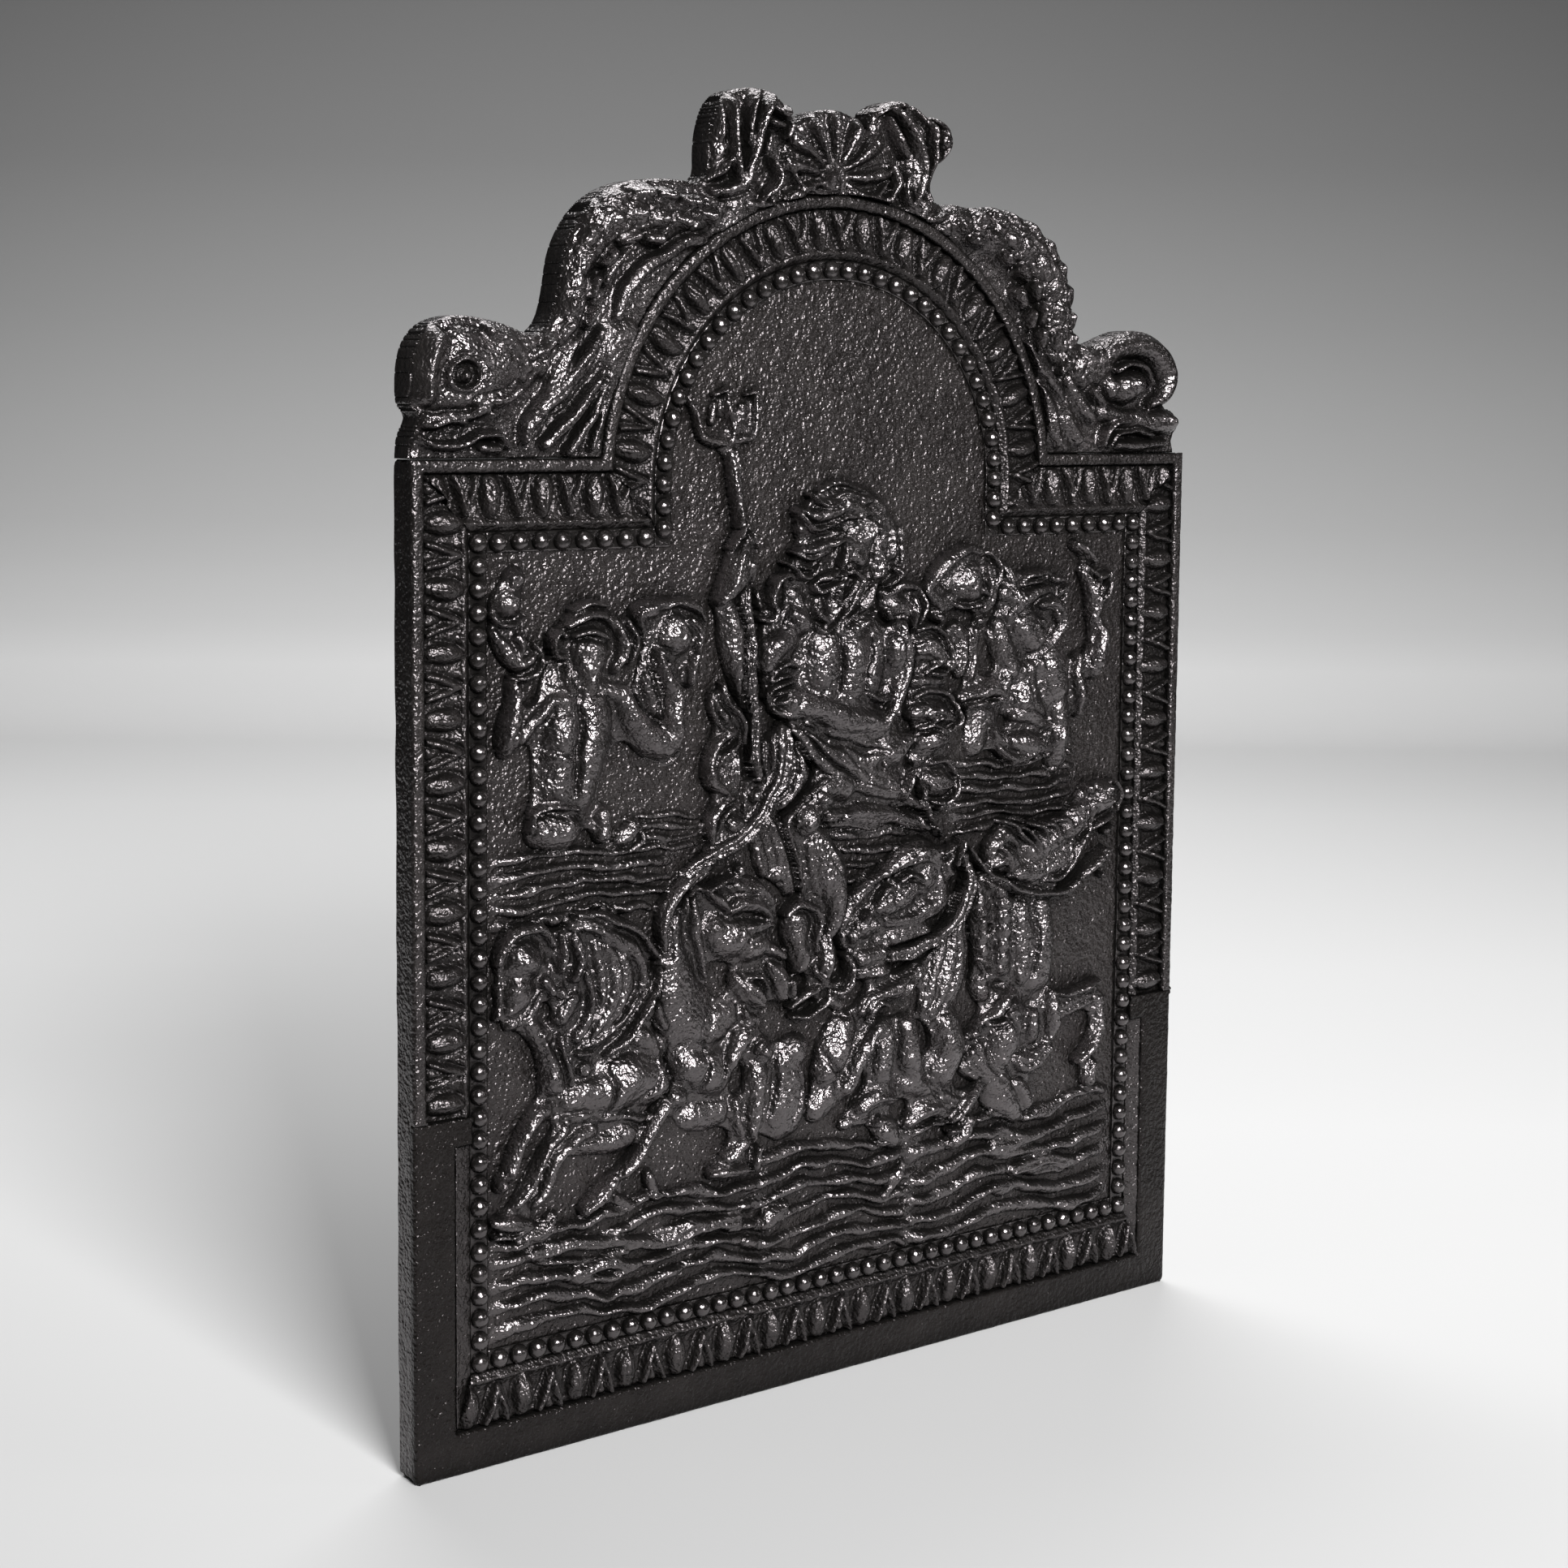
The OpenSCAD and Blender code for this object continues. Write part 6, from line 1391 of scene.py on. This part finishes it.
# The board: a slab with an unevenly worn edge, and a sheet of uneven ground behind the scene
def castBoard():
    look = boardLook
    x, z = gridOf(*look["span"], look["step"])
    wear, size, seed = look["wear"]
    distance = roundedCorners(x, z, np.minimum(archedDistance(x, z, 0), z))
    distance = distance - wear * np.clip(0.5 + 0.5 * unevenness(x.shape, size / look["step"], seed), 0, 1)
    px, pz, keep = cutByDistance(x, z, distance, look["step"])
    slab = shellArrays(px, np.full(x.shape, plate["ground"] + look["lift"]), pz, keep, plate["back"])
    gx, gz = gridOf(*look["fieldSpan"], look["fieldStep"])
    inField = archedDistance(gx, gz, look["fieldInset"]) > -look["overlap"]
    hollow, fine = (high * unevenness(gx.shape, size / look["fieldStep"], seed)
                    for high, size, seed in (look["hollow"], look["fine"]))
    ground = plate["ground"] - look["over"] - (hollow + fine)
    return joinArrays([slab, shellArrays(gx, ground, gz, inField[1:, 1:], plate["ground"] + look["under"])])


dress("arched_board_cast", castBoard(), "arched_board", finishes["board"])


# The studio's sweep: a flat floor that bends up into a wall far behind. Its tone is painted shade that goes
# by the way back plus the way up, as (metres, grey): dark at the front, pale near the plate and darker up
# the wall, and it fades to painted darkness (a dark room) past a line that widens with the way back
sweepLook = {"shadedTones": [(-0.5, 0.06), (-0.24, 0.53), (-0.08, 0.58), (0.14, 0.68), (0.46, 0.79), (0.95, 0.84),
                       (1.82, 0.81), (2.70, 0.69), (2.81, 0.58), (3.06, 0.43), (3.31, 0.29), (3.55, 0.18),
                       (3.80, 0.12)],
             "start": -0.6, "end": 4.2, "back": (0.605, 0.796, 1.0), "across": (0.796, -0.605, 0),
             "width": 2.3, "widens": 0.33, "edge": 0.62, "fade": 0.3, "paintedDarkRoom": 0.1,
             "front": -0.95, "bendFrom": 2.4, "bendRadius": 0.3, "wallAt": 2.7, "top": 5,
             "paint": (0.7, 0.7, 0.7, 1), "rough": 0.8}


# The run of the sweep is its side view, as (way back, height), laid at both sides of the middle line
def sweepMesh():
    look = sweepLook
    radius = look["bendRadius"]
    turn = np.linspace(0, math.pi / 2, 9)
    bend = np.column_stack([look["bendFrom"] + radius * np.sin(turn), radius - radius * np.cos(turn)])
    run = np.vstack([[[look["front"], 0]], bend, [[look["wallAt"], look["top"]]]])
    forward, across = np.array(look["back"][:2]), np.array(look["across"][:2])
    points = np.vstack([np.column_stack([run[:, :1] * forward + side * across, run[:, 1]])
                        for side in (-look["width"], look["width"])])
    n = len(run)
    mesh = bpy.data.meshes.new("studioSweep")
    mesh.from_pydata(points.tolist(), [], [(i, n + i, n + i + 1, i + 1) for i in range(n - 1)])
    mesh.polygons.foreach_set("use_smooth", [True] * len(mesh.polygons))
    return mesh


# Painted shade: grey by the way back and up, times the fade to painted darkness at both sides
def sweepPaint():
    look = sweepLook
    material = bpy.data.materials.new("studioPaint")
    material.use_nodes = True
    tree = material.node_tree
    shader = tree.nodes["Principled BSDF"]
    shader.inputs["Base Color"].default_value = look["paint"]
    shader.inputs["Roughness"].default_value = look["rough"]
    node, link = tree.nodes.new, tree.links.new
    place = node("ShaderNodeTexCoord").outputs["Object"]

    def along(direction):
        dot = node("ShaderNodeVectorMath")
        dot.operation = "DOT_PRODUCT"
        dot.inputs[1].default_value = direction
        link(place, dot.inputs[0])
        return dot.outputs["Value"]

    way = along(look["back"])
    span, ramp = node("ShaderNodeMapRange"), node("ShaderNodeValToRGB")
    span.inputs["From Min"].default_value = look["start"]
    span.inputs["From Max"].default_value = look["end"]
    stops = ramp.color_ramp.elements
    for index, (metres, grey) in enumerate(look["shadedTones"]):
        where = (metres - look["start"]) / (look["end"] - look["start"])
        stop = stops[0] if index == 0 else stops.new(where)
        stop.position = where
        stop.color = (grey, grey, grey, 1)
    stops[-1].color = stops[-2].color
    link(way, span.inputs["Value"])
    link(span.outputs["Result"], ramp.inputs["Fac"])
    # Painted darkness at both sides and at the front, where the sweep fades to the dark room
    far, past = node("ShaderNodeMath"), node("ShaderNodeMath")
    fade, dim = node("ShaderNodeMapRange"), node("ShaderNodeVectorMath")
    far.operation, past.operation, dim.operation = "ABSOLUTE", "MULTIPLY_ADD", "SCALE"
    past.inputs[1].default_value = -look["widens"]
    fade.inputs["From Min"].default_value = look["edge"]
    fade.inputs["From Max"].default_value = look["edge"] + look["fade"]
    fade.inputs["To Min"].default_value = 1
    fade.inputs["To Max"].default_value = look["paintedDarkRoom"]
    link(along(look["across"]), far.inputs[0])
    link(way, past.inputs[0])
    link(far.outputs["Value"], past.inputs[2])
    link(past.outputs["Value"], fade.inputs["Value"])
    link(ramp.outputs["Color"], dim.inputs[0])
    link(fade.outputs["Result"], dim.inputs["Scale"])
    link(dim.outputs["Vector"], shader.inputs["Base Color"])
    return material


# A matrix that puts an object at a place, with its local x, y and z along three directions
def placed(x, y, z, place):
    return Matrix([[x[i], y[i], z[i], place[i]] for i in range(3)] + [[0, 0, 0, 1]])


# Lights by size, power in watts, place and the point that they face; lengths in metres
lights = {
    "keyLight": ((0.75, 0.75), 86, (-0.56, -1.74, 1.2), (0, 0, 0.33)),
    "fillLight": ((0.5, 0.5), 3, (1.5, -1.5, 0.9), (0, 0, 0.33)),
    "backLight": ((1.6, 0.8), 46, (0.55, 1.25, 2.5), (0.85, 1.6, 0.2)),
}


def areaLight(name, size, power, place, aim):
    data = bpy.data.lights.new(name, "AREA")
    data.shape = "RECTANGLE"
    data.size, data.size_y = size
    data.energy = power
    lamp = bpy.data.objects.new(name, data)
    scene.collection.objects.link(lamp)
    direction = np.array(aim, float) - np.array(place, float)
    direction /= np.linalg.norm(direction)
    side = np.cross(direction, [0, 0, 1])
    side /= np.linalg.norm(side)
    lamp.matrix_world = placed(side, np.cross(side, direction), -direction, place)


sweepData = sweepMesh()
sweepData.materials.append(sweepPaint())
sweepFloor = bpy.data.objects.new("studioSweep", sweepData)
scene.collection.objects.link(sweepFloor)
for name, settings in lights.items():
    areaLight(name, *settings)
print("stage and lights set")

world = bpy.data.worlds.new("studioWorld")
scene.world = world
world.use_nodes = True
background = world.node_tree.nodes["Background"]
background.inputs["Color"].default_value = (1, 1, 1, 1)
background.inputs["Strength"].default_value = 0.03

# The camera stands where the photograph was taken from; its local z points away from the plate
cameraLook = {"lens": 60.09, "sensor": 36, "shift": -0.0825, "far": 50,
              "right": (0.79694, -0.60399, 0.00909), "up": (0.05279, 0.08464, 0.99501),
              "away": (-0.60175, -0.79248, 0.09934), "place": (-0.80439, -1.01778, 0.49825)}
cameraData = bpy.data.cameras.new("camera")
cameraData.lens = cameraLook["lens"]
cameraData.sensor_width = cameraLook["sensor"]
cameraData.shift_y = cameraLook["shift"]
cameraData.clip_end = cameraLook["far"]
camera = bpy.data.objects.new("camera", cameraData)
scene.collection.objects.link(camera)
camera.matrix_world = placed(*(cameraLook[key] for key in ("right", "up", "away", "place")))
scene.camera = camera
scene.view_settings.view_transform = "Standard"

# The solids below the pieces take the finishes of their slots
for name, node in frame["nodes"].items():
    slotName = next(part["material_slot"] for part in frame["record"]["subparts"] if part["node"] == name)
    node.data.materials.clear()
    node.data.materials.append(finishes[slotName])
